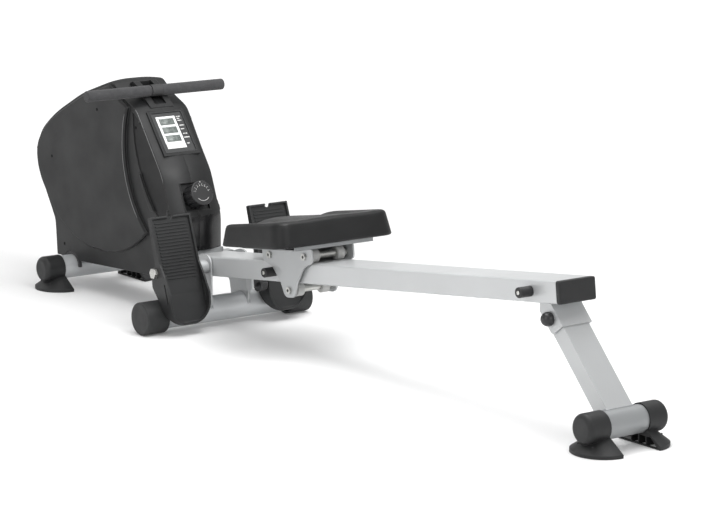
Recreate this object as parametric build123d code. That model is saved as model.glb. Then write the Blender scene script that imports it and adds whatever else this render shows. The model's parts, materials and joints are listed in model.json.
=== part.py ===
from build123d import *
from math import atan2, cos, degrees, pi, radians, sin, sqrt
import os

# Folding magnetic rowing machine.  Millimetres, +Z up, +X from the flywheel
# housing towards the rear leg, the rower's left side at -Y.  X stations are
# measured from the front stabiliser's axis and shifted by MID_X on export, so
# that the part stands over its origin.

# ---------------------------------------------------------------- fits
RUN = 0.05            # radial running clearance of a shaft in its bore
GAP = 0.4             # clearance between pieces that move past each other
SEAT_FIT = 0.15       # radial clearance of a cap over its tube

# ---------------------------------------------------------------- stabilisers
TUBE_R = 30.0         # front and rear stabiliser tube
TUBE_WALL = 2.0
MID_R = 31.75         # middle stabiliser tube
FRONT_HALF = 166.0    # half length over the caps
REAR_HALF = 108.0
MID_X_AT = 593.0      # station of the middle stabiliser
AXIS_Z = 54.0         # height of the front and rear stabiliser axes
CAP_R = 33.0
CAP_LEN = 55.0
CAP_END = 12.0        # thickness of a cap's end
CAP_ROUND = 12.0
FOOT_LEN = 134.0      # length of a foot's base along the machine
FOOT_REACH = 66.0     # how far a foot's base stands out from its straight edge
FOOT_SHELL = 5.0
FOOT_RIM = 7.0        # upright rim around a foot's base
FOOT_NECK = 46.0      # length of the foot where it meets the cap
NECK_REACH = 30.0
FOOT_STEP = 3.0       # foot's straight edge inboard of the cap
FOOT_HOLLOW = 14.0    # hollow above the rim
FOOT_SILL = 3.0
ROLLER_R = 40.0
ROLLER_LEN = 63.0
ROLLER_FILLET = 4.0
ROLLER_WALL = 6.0
ROLLER_INNER = 180.0  # inner face of a transport roller
SPINDLE_R = 9.0
SPINDLE_LEN = 46.0

# ---------------------------------------------------------------- frame
SPINE_W = 44.0
SPINE_H = 64.0
SPINE_Z0 = 74.0       # underside of the spine tube
SPINE_X0 = -42.0
SPINE_WALL = 2.5
CROSS_X0 = 446.0      # box beam across the rear end of the spine
CROSS_X1 = 496.0
CROSS_Z0 = 98.0
CROSS_Z1 = 148.0
CROSS_WALL = 3.0
PLATE_IN = 52.0       # inner face of a hinge plate
PLATE_T = 5.0
PLATE_HUB_R = 17.0
PLATE_REAR = 623.0
PLATE_TOP = 178.0
PLATE_CORNER = 24.0
BAR_HALF = 105.0      # pedal stop bar
BAR_W = 26.0
BAR_T = 4.5
COVER_HALF = 74.0     # bent cover plate over the stop bar
COVER_LEN = 44.0
COVER_H = 11.5
COVER_T = 3.0
CARRIER_IN = 46.0     # inner face of a flywheel carrier plate
CARRIER_T = 4.0

# ---------------------------------------------------------------- rail
PIVOT_X = 600.0       # fold pivot, which is also the pedal axle
PIVOT_Z = 148.5
TILT = 6.9            # rise of the rail towards the rear, degrees
RAIL_W = 100.0
RAIL_H = 49.0
RAIL_WALL = 2.5
RAIL_ROUND = 5.0
RAIL_AHEAD = 58.0     # rail ahead of the pivot
END_CAP_T = 12.0
END_CAP_PLUG = 18.0
AXLE_R = 8.0
PIVOT_TUBE_R = 12.0
STOP_R = 11.5
STOP_LEN = 33.0
STOP_FRONT = 285.0
TAB_U = 48.0          # clamp tab below the rail, from the pivot
TAB_W = -56.0
TAB_R = 12.0
TAB_Y = 34.0
TAB_T = 6.0
CLAMP_R = 5.0
CLAMP_KNOB_R = 17.0
CLAMP_KNOB_LEN = 24.0

# ---------------------------------------------------------------- rear leg
LEG_U = 1264.0        # leg pivot, in the rail's frame
LEG_W = -57.0
LEG_SPREAD = 179.3    # foot of the leg behind its pivot
RAIL_OVERHANG = 36.0  # rail beyond the leg's pivot
STOP_INSET = 47.0     # rear stop ahead of the leg's pivot
RAIL_END = LEG_U + RAIL_OVERHANG
STOP_REAR = LEG_U - STOP_INSET
REAR_X = PIVOT_X + LEG_U * cos(radians(TILT)) - LEG_W * sin(radians(TILT)) + LEG_SPREAD
LEG_WIDE = 70.0
LEG_DEEP = 38.0
LEG_WALL = 2.5
LEG_BOLT_R = 6.0
BRACKET_GAP = 1.5     # side clearance of the leg in its bracket
BRACKET_T = 4.0
LEG_KNOB_R = 15.5
LEG_KNOB_OUT = 5.5     # ball's centre from the bracket's cheek
LEG_BOLT_OUT = 14.0

# ---------------------------------------------------------------- carriage
STOP_REACH = 69.5     # carriage centre to a stop it rests against
CAR_U = STOP_FRONT + STOP_REACH
CAR_PLATE_IN = 57.0
CAR_PLATE_T = 4.0
CAR_SPREAD = 70.0     # axle distance from the carriage centre
WHEEL_R = 16.0
WHEEL_LEN = 20.0
WHEEL_Y = 26.0        # inner face of a wheel
CAR_AXLE_R = 5.0
CAR_HEAD_R = 9.0
CAR_HEAD_T = 5.0
CAR_TOP = 60.0        # top edge of the carriage plates
CAR_HALF = 100.0
CAR_DROP = 17.0       # plate below the lower axle
SEAT_BASE_T = 3.0
SEAT_BASE_LIP = 10.0
SEAT_BASE_LEN = 214.0
SEAT_BASE_HALF = 112.0
PAD_LEN = 254.0
PAD_W = 340.0
PAD_FRONT_T = 52.0    # thickness at the front edge
PAD_REAR_T = 63.0
PAD_CORNER = 34.0
PAD_DRAFT = 9.0       # slope of the side walls, degrees
CHANNEL_Y = 92.0      # leg channels, from the middle
CHANNEL_W = 92.0
CHANNEL_DEEP = 12.0
PAD_EDGE = 7.0

# ---------------------------------------------------------------- pedals
PEDAL_TILT = 19.9     # lean of the footplate from upright, degrees
PEDAL_IN = 86.0
PEDAL_OUT = 201.0
PEDAL_TOP = 132.0
PEDAL_HEEL = 136.0
HEEL_R = 52.0         # corner radius of the heel end, seen from the front
PEDAL_TREAD = 18.0    # tread surface from the axle
PEDAL_WALL = 5.0
PEDAL_FLOOR = 5.0
PEDAL_HUB_R = 15.0
RIB_PITCH = 8.0
RIB_H = 2.0
RIB_W = 3.0
NUT_R = 13.0
NUT_T = 9.0

# ---------------------------------------------------------------- housing
SIDE_Y = 74.0         # flat side of the housing
SHELL_WALL = 3.0
CROWN = 8.0           # how far the centre stands proud of the side outline
CROWN_MID = 6.0
CROWN_Y = 44.0
DISC_RISE = 10.0
RIM_RISE = 3.5

# ---------------------------------------------------------------- drive
FLY_X, FLY_Z = 22.0, 322.0
FLY_R = 128.0
FLY_T = 20.0
FLY_HUB_R = 26.0
FLY_RIM = 34.0
FLY_PULLEY_R = 24.0
DRIVE_R = 88.0
DRIVE_X, DRIVE_Z = 262.0, 330.0
BELT_Y = 27.0
BELT_W = 12.0
BELT_T = 2.0
SHAFT_R = 8.0
REEL_R = 34.0
REEL_FLANGE_R = 58.0
REEL_HALF = 15.0
REEL_FLANGE_T = 2.0
STRAP_W = 25.0
STRAP_T = 1.6
SPRING_R = 44.0
MAGNET_GAP = 4.0
MAGNET_T = 7.0
MAGNET_ARC = 52.0

# ---------------------------------------------------------------- handle
CORNER_X = 322.0      # housing's top rear corner, which carries the handle's rest
CORNER_Z = 499.0
HANDLE_AHEAD = 28.0   # handle ahead of that corner
HANDLE_LIFT = 41.0    # and above it
HANDLE_X = CORNER_X - HANDLE_AHEAD
HANDLE_Z = CORNER_Z + HANDLE_LIFT
PULL_RISE = 12.0      # climb of the pull towards the rower, degrees
HANDLE_HALF = 201.0
BAR_R = 10.0
GRIP_R = 14.0
CLIP_HALF = 15.0
CLIP_R = 17.0
GUIDE_R = 11.0
SLOT_W = 34.0         # strap window in the rest and the housing
SLOT_H = 11.0
REST_FRONT = 64.0     # rest ahead of the bar
REST_TOP = 20.0       # its block above the bar's middle
REST_TONGUE = 33.0    # its tongue behind the bar
REST_LIP = 9.0
GUIDE_BACK = 62.0     # guide roller behind the handle, along the pull
REST_HALF = 34.0

# ---------------------------------------------------------------- console
CON_HALF = 44.0
CON_LEN = 114.0
CON_T = 6.0
CON_RIM = 9.0         # raised frame around the console
CON_RIM_H = 1.5
LCD_Y = -6.0
LCD_HALF = 28.0
LCD_LEN = 93.0
LCD_T = 2.0
BUTTON_LEN = 12.0
BUTTON_TRAVEL = 1.5
KNOB_R = 31.0
SPINDLE_KNOB_R = 5.0
KNOB_LEN = 41.0
KNOB_FLUTES = 12
POCKET_HALF = 35.0    # square pocket around the knob
POCKET_DEEP = 7.0
POCKET_WALL = 2.5

# side outline of the housing: (X, Z, corner radius)
# and the share of the crown that each corner takes
OUTLINE = [
    (-68.0, 40.0, 20.0, 1.0), (-77.0, 164.0, 30.0, 1.0), (-124.0, 232.0, 40.0, 1.0),
    (-175.0, 354.0, 60.0, 1.0), (-70.0, 443.0, 95.0, 1.0), (72.0, 514.0, 110.0, 1.0),
    (211.0, 560.0, 32.0, 0.7), (262.0, 524.0, 40.0, 0.5), (CORNER_X, CORNER_Z, 60.0, 0.8),
    (432.0, 350.0, 160.0, 1.9), (474.0, 245.0, 90.0, 2.3), (472.0, 40.0, 20.0, 2.3),
]
CONSOLE_AT, KNOB_AT = 8, 9   # outline corners above the console and above the knob
CON_DOWN = 77.0       # console's centre, down its run
KNOB_DOWN = 66.0
NOSE_X = -170.9
MID_X = (REAR_X + FOOT_LEN / 2 + NOSE_X) / 2

nodes = {}


# ---------------------------------------------------------------- helpers
def slab(sketch, y0, y1):
    """Extrude a sketch drawn in (X, Z) from y0 to y1."""
    return Pos(0, y1, 0) * extrude(Plane.XZ * sketch, amount=y1 - y0)


def rounded(points):
    """Closed face from (x, z, radius) corners."""
    line = FilletPolyline(*[(x, z) for x, z, _ in points],
                          radius=[r for _, _, r in points], close=True)
    return make_face(line)


def poly(*points):
    return make_face(Polyline(*points, close=True))


def rod(x, z, radius, y0, y1):
    """Round bar along Y."""
    return Pos(x, (y0 + y1) / 2, z) * Rot(90, 0, 0) * Cylinder(radius, abs(y1 - y0))


def box(x0, x1, y0, y1, z0, z1):
    return Pos((x0 + x1) / 2, (y0 + y1) / 2, (z0 + z1) / 2) * Box(x1 - x0, y1 - y0, z1 - z0)


def hexagon(x, z, radius, y0, y1):
    return slab(Pos(x, z) * RegularPolygon(radius, 6), y0, y1)


def flip(shape):
    """The same piece on the rower's right side."""
    return mirror(shape, about=Plane.XZ)


RAIL = Pos(PIVOT_X, 0, PIVOT_Z) * Rot(0, -TILT, 0)
PULL = Pos(HANDLE_X, 0, HANDLE_Z) * Rot(0, -PULL_RISE, 0)
PEDAL = Pos(PIVOT_X, 0, PIVOT_Z) * Rot(0, -PEDAL_TILT, 0)


def rail_point(u, w):
    a = radians(TILT)
    return (PIVOT_X + u * cos(a) - w * sin(a), PIVOT_Z + u * sin(a) + w * cos(a))


# ---------------------------------------------------------------- stabilisers
def half_oval(length, reach, z):
    """D-shaped face with its straight edge on the X axis, bulging to -Y."""
    arc = EllipticalCenterArc((0, 0), length / 2, reach, start_angle=180, arc_size=180)
    return Pos(0, 0, z) * make_face([arc, Line((length / 2, 0), (-length / 2, 0))])


def foot(half):
    """Cap and foot in one moulding, at the -Y end of a tube on the origin's X."""
    y_cap = -half + CAP_LEN
    cap = rod(0, AXIS_Z, CAP_R, -half, y_cap)
    cap = fillet(cap.faces().sort_by(Axis.Y)[0].edges(), CAP_ROUND)
    y_in = y_cap + FOOT_STEP
    wall = FOOT_SHELL
    rim = Pos(0, y_in, 0) * extrude(half_oval(FOOT_LEN, FOOT_REACH, 0), FOOT_RIM)
    z_neck = AXIS_Z - CAP_R * 0.55
    flare = loft([half_oval(FOOT_LEN, FOOT_REACH, FOOT_RIM).face(),
                  half_oval(FOOT_NECK, NECK_REACH, z_neck).face()])
    solid = cap + rim + Pos(0, y_in, 0) * flare
    z_top = FOOT_RIM + FOOT_HOLLOW
    share = FOOT_HOLLOW / (z_neck - FOOT_RIM)
    top_len = FOOT_LEN + (FOOT_NECK - FOOT_LEN) * share - 3 * wall
    top_reach = FOOT_REACH + (NECK_REACH - FOOT_REACH) * share - 2 * wall
    hollow = extrude(half_oval(FOOT_LEN - 2 * wall, FOOT_REACH - 2 * wall, -1), FOOT_RIM + 1)
    hollow += loft([half_oval(FOOT_LEN - 2 * wall, FOOT_REACH - 2 * wall, FOOT_RIM).face(),
                    half_oval(top_len, top_reach, z_top).face()])
    solid -= Pos(0, y_in - wall, 0) * hollow
    # the straight side is open over its rim, with upright ribs left standing
    mouth = poly((-FOOT_LEN / 2 + 2 * wall, FOOT_SILL), (FOOT_LEN / 2 - 2 * wall, FOOT_SILL),
                 (top_len / 2, z_top), (-top_len / 2, z_top))
    solid -= slab(mouth, y_in - wall - 1, y_in + 1)
    for x in (-FOOT_LEN / 6, 0, FOOT_LEN / 6):
        solid += box(x - 1.5, x + 1.5, y_in - FOOT_REACH * 0.7, y_in - 1, 1.0, z_top)
    return solid - rod(0, AXIS_Z, TUBE_R + SEAT_FIT, -half + CAP_END, y_in + 1)


def stabiliser(half):
    tube = rod(0, AXIS_Z, TUBE_R, -half + CAP_END, half - CAP_END)
    return tube - rod(0, AXIS_Z, TUBE_R - TUBE_WALL, -half, half)


def build_stabilisers():
    nodes["front_stabilizer"] = stabiliser(FRONT_HALF)
    left = foot(FRONT_HALF)
    nodes["foot_front_left"] = left
    nodes["foot_front_right"] = flip(left)
    back = Pos(REAR_X, 0, 0)
    nodes["rear_stabilizer"] = back * stabiliser(REAR_HALF)
    left = foot(REAR_HALF)
    nodes["foot_rear_left"] = back * left
    nodes["foot_rear_right"] = back * flip(left)

    end = ROLLER_INNER - GAP
    tube = rod(MID_X_AT, ROLLER_R, MID_R, -end, end)
    bore = rod(MID_X_AT, ROLLER_R, MID_R - TUBE_WALL, -end + 2 * TUBE_WALL, end - 2 * TUBE_WALL)
    spindles = rod(MID_X_AT, ROLLER_R, SPINDLE_R, -end - SPINDLE_LEN, -end)
    nodes["mid_stabilizer"] = tube - bore + spindles + flip(spindles)

    outer = ROLLER_INNER + ROLLER_LEN
    roller = rod(MID_X_AT, ROLLER_R, ROLLER_R, -outer, -ROLLER_INNER)
    ends = roller.faces().filter_by(Axis.Y)
    roller = fillet(ends.edges(), ROLLER_FILLET)
    roller -= rod(MID_X_AT, ROLLER_R, SPINDLE_R + RUN, -end - SPINDLE_LEN - GAP, -ROLLER_INNER + 1)
    # moulded pocket around the hub, open towards the tube
    hub = SPINDLE_R + ROLLER_WALL
    pocket = rod(MID_X_AT, ROLLER_R, ROLLER_R - ROLLER_WALL, -outer + 3 * ROLLER_WALL,
                 -ROLLER_INNER + 1)
    roller -= pocket - rod(MID_X_AT, ROLLER_R, hub, -outer, 0)
    nodes["roller_left"] = roller
    nodes["roller_right"] = flip(roller)


# ---------------------------------------------------------------- frame
def build_frame():
    z1 = SPINE_Z0 + SPINE_H
    spine = box(SPINE_X0, CROSS_X0, -SPINE_W / 2, SPINE_W / 2, SPINE_Z0, z1)
    inner = box(SPINE_X0 - 1, CROSS_X0 - SPINE_WALL, -SPINE_W / 2 + SPINE_WALL, SPINE_W / 2 - SPINE_WALL,
                SPINE_Z0 + SPINE_WALL, z1 - SPINE_WALL)
    cross = box(CROSS_X0, CROSS_X1, -PLATE_IN, PLATE_IN, CROSS_Z0, CROSS_Z1)
    hollow = box(CROSS_X0 + CROSS_WALL, CROSS_X1 - CROSS_WALL, -PLATE_IN - 1, PLATE_IN + 1,
                 CROSS_Z0 + CROSS_WALL, CROSS_Z1 - CROSS_WALL)
    frame = spine - inner + (cross - hollow)
    frame -= rod(0, AXIS_Z, TUBE_R, -SPINE_W, SPINE_W)
    nodes["main_frame"] = frame

    plate = rounded([
        (CROSS_X0 - 14, CROSS_Z0, 6), (CROSS_X0 - 14, CROSS_Z1, 6), (CROSS_X1 + 6, CROSS_Z1, 12),
        (PIVOT_X - 14, PLATE_TOP, 10), (PLATE_REAR, PLATE_TOP, PLATE_CORNER),
        (PLATE_REAR, ROLLER_R + 4, 3), (MID_X_AT - MID_R - 8, ROLLER_R + 4, 3),
        (MID_X_AT - MID_R - 20, CROSS_Z0, 8)])
    plate = slab(plate, -PLATE_IN - PLATE_T, -PLATE_IN)
    plate += rod(PIVOT_X, PIVOT_Z, PLATE_HUB_R, -PEDAL_IN + GAP, -PLATE_IN - PLATE_T)
    plate -= rod(MID_X_AT, ROLLER_R, MID_R, -PLATE_IN - PLATE_T - 1, -PLATE_IN + 1)
    plate -= rod(PIVOT_X, PIVOT_Z, AXLE_R, -PEDAL_IN, -PLATE_IN + 1)
    nodes["hinge_plate_left"] = plate
    right = flip(plate)
    cx, cz = rail_point(TAB_U, TAB_W)
    nodes["hinge_plate_right"] = right - rod(cx, cz, CLAMP_R + RUN, PLATE_IN - 1, PLATE_IN + PLATE_T + 1)

    x1 = CROSS_X1 - 12
    nodes["pedal_stop_bar"] = box(x1 - BAR_W, x1, -BAR_HALF, BAR_HALF, CROSS_Z1, CROSS_Z1 + BAR_T)
    z0 = CROSS_Z1 + BAR_T
    top = box(x1 - COVER_LEN, x1, -COVER_HALF, COVER_HALF, z0 + COVER_H - COVER_T, z0 + COVER_H)
    nodes["top_plate"] = top + box(x1 - COVER_T, x1, -COVER_HALF, COVER_HALF, z0, z0 + COVER_H)

    low = SPINE_Z0 + SPINE_H
    side = rounded([
        (FLY_X - 70, low - 40, 10), (FLY_X - 26, FLY_Z + 26, 24), (FLY_X + 30, FLY_Z + 26, 24),
        (DRIVE_X - 70, low + 70, 40), (DRIVE_X - 24, DRIVE_Z + 26, 24), (DRIVE_X + 26, DRIVE_Z + 26, 24),
        (DRIVE_X + 90, low - 40, 10)])
    side = slab(side, -CARRIER_IN - CARRIER_T, -CARRIER_IN)
    foot_plate = box(FLY_X - 60, DRIVE_X + 70, -CARRIER_IN, -SPINE_W / 2, low - 34, low - 30)
    side += foot_plate
    side -= rod(FLY_X, FLY_Z, SHAFT_R, -CARRIER_IN - CARRIER_T - 1, -CARRIER_IN + 1)
    side -= rod(DRIVE_X, DRIVE_Z, SHAFT_R, -CARRIER_IN - CARRIER_T - 1, -CARRIER_IN + 1)
    nodes["carrier_left"] = side
    nodes["carrier_right"] = flip(side)


# ---------------------------------------------------------------- pedals
def build_pedals():
    profile = rounded([
        (24.0, PEDAL_TOP, 2.5), (12.0, PEDAL_TOP, 2.5), (6.0, 18.0, 12.0), (-20.0, -4.0, 12.0),
        (-26.0, -30.0, 12.0), (-10.5, -66.0, 12.0), (10.0, -PEDAL_HEEL, 10.0),
        (24.0, -PEDAL_HEEL, 7.0), (34.0, -108.0, 14.0), (44.0, -66.0, 16.0), (34.0, -16.0, 20.0),
        (24.0, 16.0, 16.0)])
    y0, y1 = -PEDAL_OUT + PEDAL_WALL, -PEDAL_IN - PEDAL_WALL

    def sole(inset):
        """Outline of the footplate seen from the front, with its rounded heel."""
        low, high = -PEDAL_HEEL - 1 + inset, PEDAL_TOP + 1 - inset
        left, right, r = -PEDAL_OUT + inset, -PEDAL_IN - inset, HEEL_R - inset
        line = FilletPolyline((left, high), (left, low), (right, low), (right, high),
                              radius=[3.0, r, r, 3.0], close=True)
        return Pos(-60, 0, 0) * extrude(Plane.YZ * make_face(line), 160)

    body = slab(profile, -PEDAL_OUT, -PEDAL_IN) & sole(0)
    tread = PEDAL_TREAD
    foot_room = rounded([
        (tread, PEDAL_TOP - PEDAL_WALL, 3), (60.0, PEDAL_TOP - PEDAL_WALL, 3),
        (60.0, -PEDAL_HEEL + PEDAL_WALL, 3), (tread + 4, -PEDAL_HEEL + PEDAL_WALL, 6), (tread, -60.0, 30)])
    body -= slab(foot_room, y0, y1) & sole(PEDAL_WALL)
    back_room = rounded([
        (tread - PEDAL_FLOOR, PEDAL_TOP - PEDAL_WALL, 2), (-40.0, PEDAL_TOP - PEDAL_WALL, 2),
        (-40.0, -PEDAL_HEEL + PEDAL_WALL, 2), (4.0, -PEDAL_HEEL + PEDAL_WALL, 8),
        (tread - PEDAL_FLOOR, -100.0, 20)])
    body -= slab(back_room, y0, y1) & sole(PEDAL_WALL)
    body += rod(0, 0, PEDAL_HUB_R, -PEDAL_OUT, -PEDAL_IN)
    ribs = [(-104.0, 2.0), (-62.0, -10.0), (48.0, 8.5), (88.0, 10.5)]
    for z, x in ribs:
        body += box(x, tread - PEDAL_FLOOR + 0.5, y0 - 1, y1 + 1, z - 1.5, z + 1.5)
    y_mid = (y0 + y1) / 2
    body += box(-PEDAL_HUB_R + 2, tread - PEDAL_FLOOR + 0.5, y_mid - 1.5, y_mid + 1.5, -62.0, 14.0)
    count = int((PEDAL_TOP + 40.0 - 3 * RIB_PITCH) / RIB_PITCH)
    for i in range(count):
        z = PEDAL_TOP - 2 * RIB_PITCH - i * RIB_PITCH
        body += box(tread - 0.5, tread + RIB_H, y0 + 8, y1 - 8, z - RIB_W / 2, z + RIB_W / 2)
    body -= rod(0, 0, AXLE_R + RUN, -PEDAL_OUT - 1, -PEDAL_IN + 1)
    for wall in (-PEDAL_OUT, -PEDAL_IN - PEDAL_WALL):
        body -= box(26.0, 31.0, wall - 1, wall + PEDAL_WALL + 1, -82.0, -34.0)
    body -= Pos(tread, y_mid, PEDAL_TOP) * Rot(0, 90, 0) * Cylinder(9.0, 40)
    nodes["pedal_left"] = PEDAL * body
    nodes["pedal_right"] = PEDAL * flip(body)

    y_nut = PEDAL_OUT + GAP
    nodes["pedal_axle"] = rod(PIVOT_X, PIVOT_Z, AXLE_R, -y_nut - NUT_T, y_nut + NUT_T)
    nut = hexagon(PIVOT_X, PIVOT_Z, NUT_R, -y_nut - NUT_T, -y_nut)
    nut -= rod(PIVOT_X, PIVOT_Z, AXLE_R, -y_nut - NUT_T - 1, -y_nut + 1)
    nodes["axle_nuts"] = Compound([nut, flip(nut)])


# ---------------------------------------------------------------- rail
def build_rail():
    half, h = RAIL_W / 2, RAIL_H / 2
    section = Plane.YZ * RectangleRounded(RAIL_W, RAIL_H, RAIL_ROUND)
    bore = Plane.YZ * RectangleRounded(RAIL_W - 2 * RAIL_WALL, RAIL_H - 2 * RAIL_WALL,
                                       RAIL_ROUND - RAIL_WALL)
    length = RAIL_AHEAD + RAIL_END
    rail = Pos(-RAIL_AHEAD, 0, 0) * (extrude(section, length) - extrude(bore, length))
    rail -= rod(0, 0, PIVOT_TUBE_R, -half - 1, half + 1)
    nodes["rail"] = RAIL * rail

    tube = rod(0, 0, PIVOT_TUBE_R, -PLATE_IN + GAP, PLATE_IN - GAP) - rod(0, 0, AXLE_R + RUN, -half - 9, half + 9)
    tab = rounded([(TAB_U - TAB_R, -h, 1), (TAB_U + TAB_R, -h, 1), (TAB_U + TAB_R, TAB_W - TAB_R, 10),
                   (TAB_U - TAB_R, TAB_W - TAB_R, 10)])
    tab = slab(tab, TAB_Y, TAB_Y + TAB_T)
    nodes["rail_bracket"] = RAIL * Compound([tube, tab])

    cap = Pos(RAIL_END, 0, 0) * extrude(section, END_CAP_T)
    cap = fillet(cap.faces().sort_by(Axis.X)[-1].edges(), 4.0)
    plug = Plane.YZ * RectangleRounded(RAIL_W - 2 * RAIL_WALL - 0.6, RAIL_H - 2 * RAIL_WALL - 0.6, 2.2)
    core = Plane.YZ * Rectangle(RAIL_W - 8 * RAIL_WALL, RAIL_H - 6 * RAIL_WALL)
    plug = extrude(plug, END_CAP_PLUG) - extrude(core, END_CAP_PLUG)
    nodes["rail_end_cap"] = RAIL * (cap + Pos(RAIL_END - END_CAP_PLUG, 0, 0) * plug)

    stops = []
    for u in (STOP_FRONT, STOP_REAR):
        s = rod(u, 0, STOP_R, -half - STOP_LEN, -half)
        s = fillet(s.faces().sort_by(Axis.Y)[0].edges(), 2.0)
        s -= rod(u, 0, STOP_R * 0.55, -half - STOP_LEN - 1, -half - STOP_LEN + 6)
        s += hexagon(u, 0, STOP_R * 0.45, -half - STOP_LEN + 1, -half - STOP_LEN + 6.5)
        stops += [s, flip(s)]
    nodes["rail_stops"] = RAIL * Compound(stops)

    # clamp knob through the right hinge plate, its tip at the tab's face
    tip = TAB_Y + TAB_T + GAP
    y_knob = PLATE_IN + PLATE_T + GAP
    shank = rod(TAB_U, TAB_W, CLAMP_R, tip, y_knob + 2)
    grip = rod(TAB_U, TAB_W, CLAMP_KNOB_R, y_knob, y_knob + CLAMP_KNOB_LEN)
    grip = fillet(grip.faces().sort_by(Axis.Y)[-1].edges(), 6.0)
    for i in range(8):
        a = radians(45 * i + 22.5)
        flute = rod(TAB_U + (CLAMP_KNOB_R + 2.5) * cos(a), TAB_W + (CLAMP_KNOB_R + 2.5) * sin(a), 5.0,
                    y_knob + 6, y_knob + CLAMP_KNOB_LEN + 1)
        grip -= flute
    nodes["rail_clamp_knob"] = RAIL * (shank + grip)


# ---------------------------------------------------------------- rear leg
def build_leg():
    px, pz = rail_point(LEG_U, LEG_W)
    dx, dz = REAR_X - px, AXIS_Z - pz
    reach = sqrt(dx * dx + dz * dz)
    lean = degrees(atan2(dx, -dz))          # from straight down, towards the rear
    frame = Pos(px, 0, pz) * Rot(0, -lean, 0)
    hw, hd = LEG_WIDE / 2, LEG_DEEP / 2

    leg = box(-hd, hd, -hw, hw, -reach, 0) + rod(0, 0, hd, -hw, hw)
    bore = box(-hd + LEG_WALL, hd - LEG_WALL, -hw + LEG_WALL, hw - LEG_WALL, -reach, 0)
    bore += rod(0, 0, hd - LEG_WALL, -hw + LEG_WALL, hw - LEG_WALL)
    leg = leg - bore - rod(0, 0, LEG_BOLT_R + RUN, -hw - 1, hw + 1)
    leg -= rod(0, -reach, TUBE_R, -hw - 1, hw + 1)
    nodes["leg_tube"] = frame * leg

    # U bracket: two cheeks and a rear web that the deployed leg rests on
    inner = hw + BRACKET_GAP
    h = RAIL_H / 2
    a = radians(lean - TILT)
    back = hd + GAP
    ux, uz = sin(a), -cos(a)                # down the leg, in the rail's frame
    nx, nz = cos(a), sin(a)                 # towards the rear face

    def at(along, across):
        return (LEG_U + ux * along + nx * across, LEG_W + uz * along + nz * across)

    top = (-h - LEG_W - nz * (back + BRACKET_T)) / uz
    low = 34.0
    p_top = at(top, back + BRACKET_T)
    p_low = at(low, back + BRACKET_T)
    p_front = at(low - 4.0, -hd + 2.0)
    cheek = make_face(FilletPolyline((p_top[0], -h), p_low, p_front, (LEG_U - 32.0, -h - 18.0),
                                     (LEG_U - 30.0, -h), radius=[0.5, 6, 8, 8, 0.5], close=True))
    cheeks = slab(cheek, -inner - BRACKET_T, -inner) + slab(cheek, inner, inner + BRACKET_T)
    q_top = at((-h - LEG_W - nz * back) / uz, back)
    web = poly((p_top[0], -h), p_low, at(low, back), (q_top[0], -h))
    bracket = cheeks + slab(web, -inner - BRACKET_T, inner + BRACKET_T)
    bolt_y = inner + BRACKET_T
    bracket -= rod(LEG_U, LEG_W, LEG_BOLT_R, -bolt_y - 1, bolt_y + 1)
    nodes["leg_bracket"] = RAIL * bracket

    bolt = rod(LEG_U, LEG_W, LEG_BOLT_R, -bolt_y - LEG_BOLT_OUT, bolt_y)
    bolt += hexagon(LEG_U, LEG_W, 10.0, bolt_y, bolt_y + 6.0)
    nodes["leg_bolt"] = RAIL * bolt
    seat_y = -bolt_y - GAP
    knob = Pos(LEG_U, seat_y - LEG_KNOB_OUT, LEG_W) * Sphere(LEG_KNOB_R)
    knob -= rod(LEG_U, LEG_W, 2 * LEG_KNOB_R, seat_y, seat_y + 2 * LEG_KNOB_R)
    knob -= rod(LEG_U, LEG_W, LEG_BOLT_R + RUN, -bolt_y - LEG_BOLT_OUT - GAP, seat_y + 1)
    nodes["leg_knob"] = RAIL * knob


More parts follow.
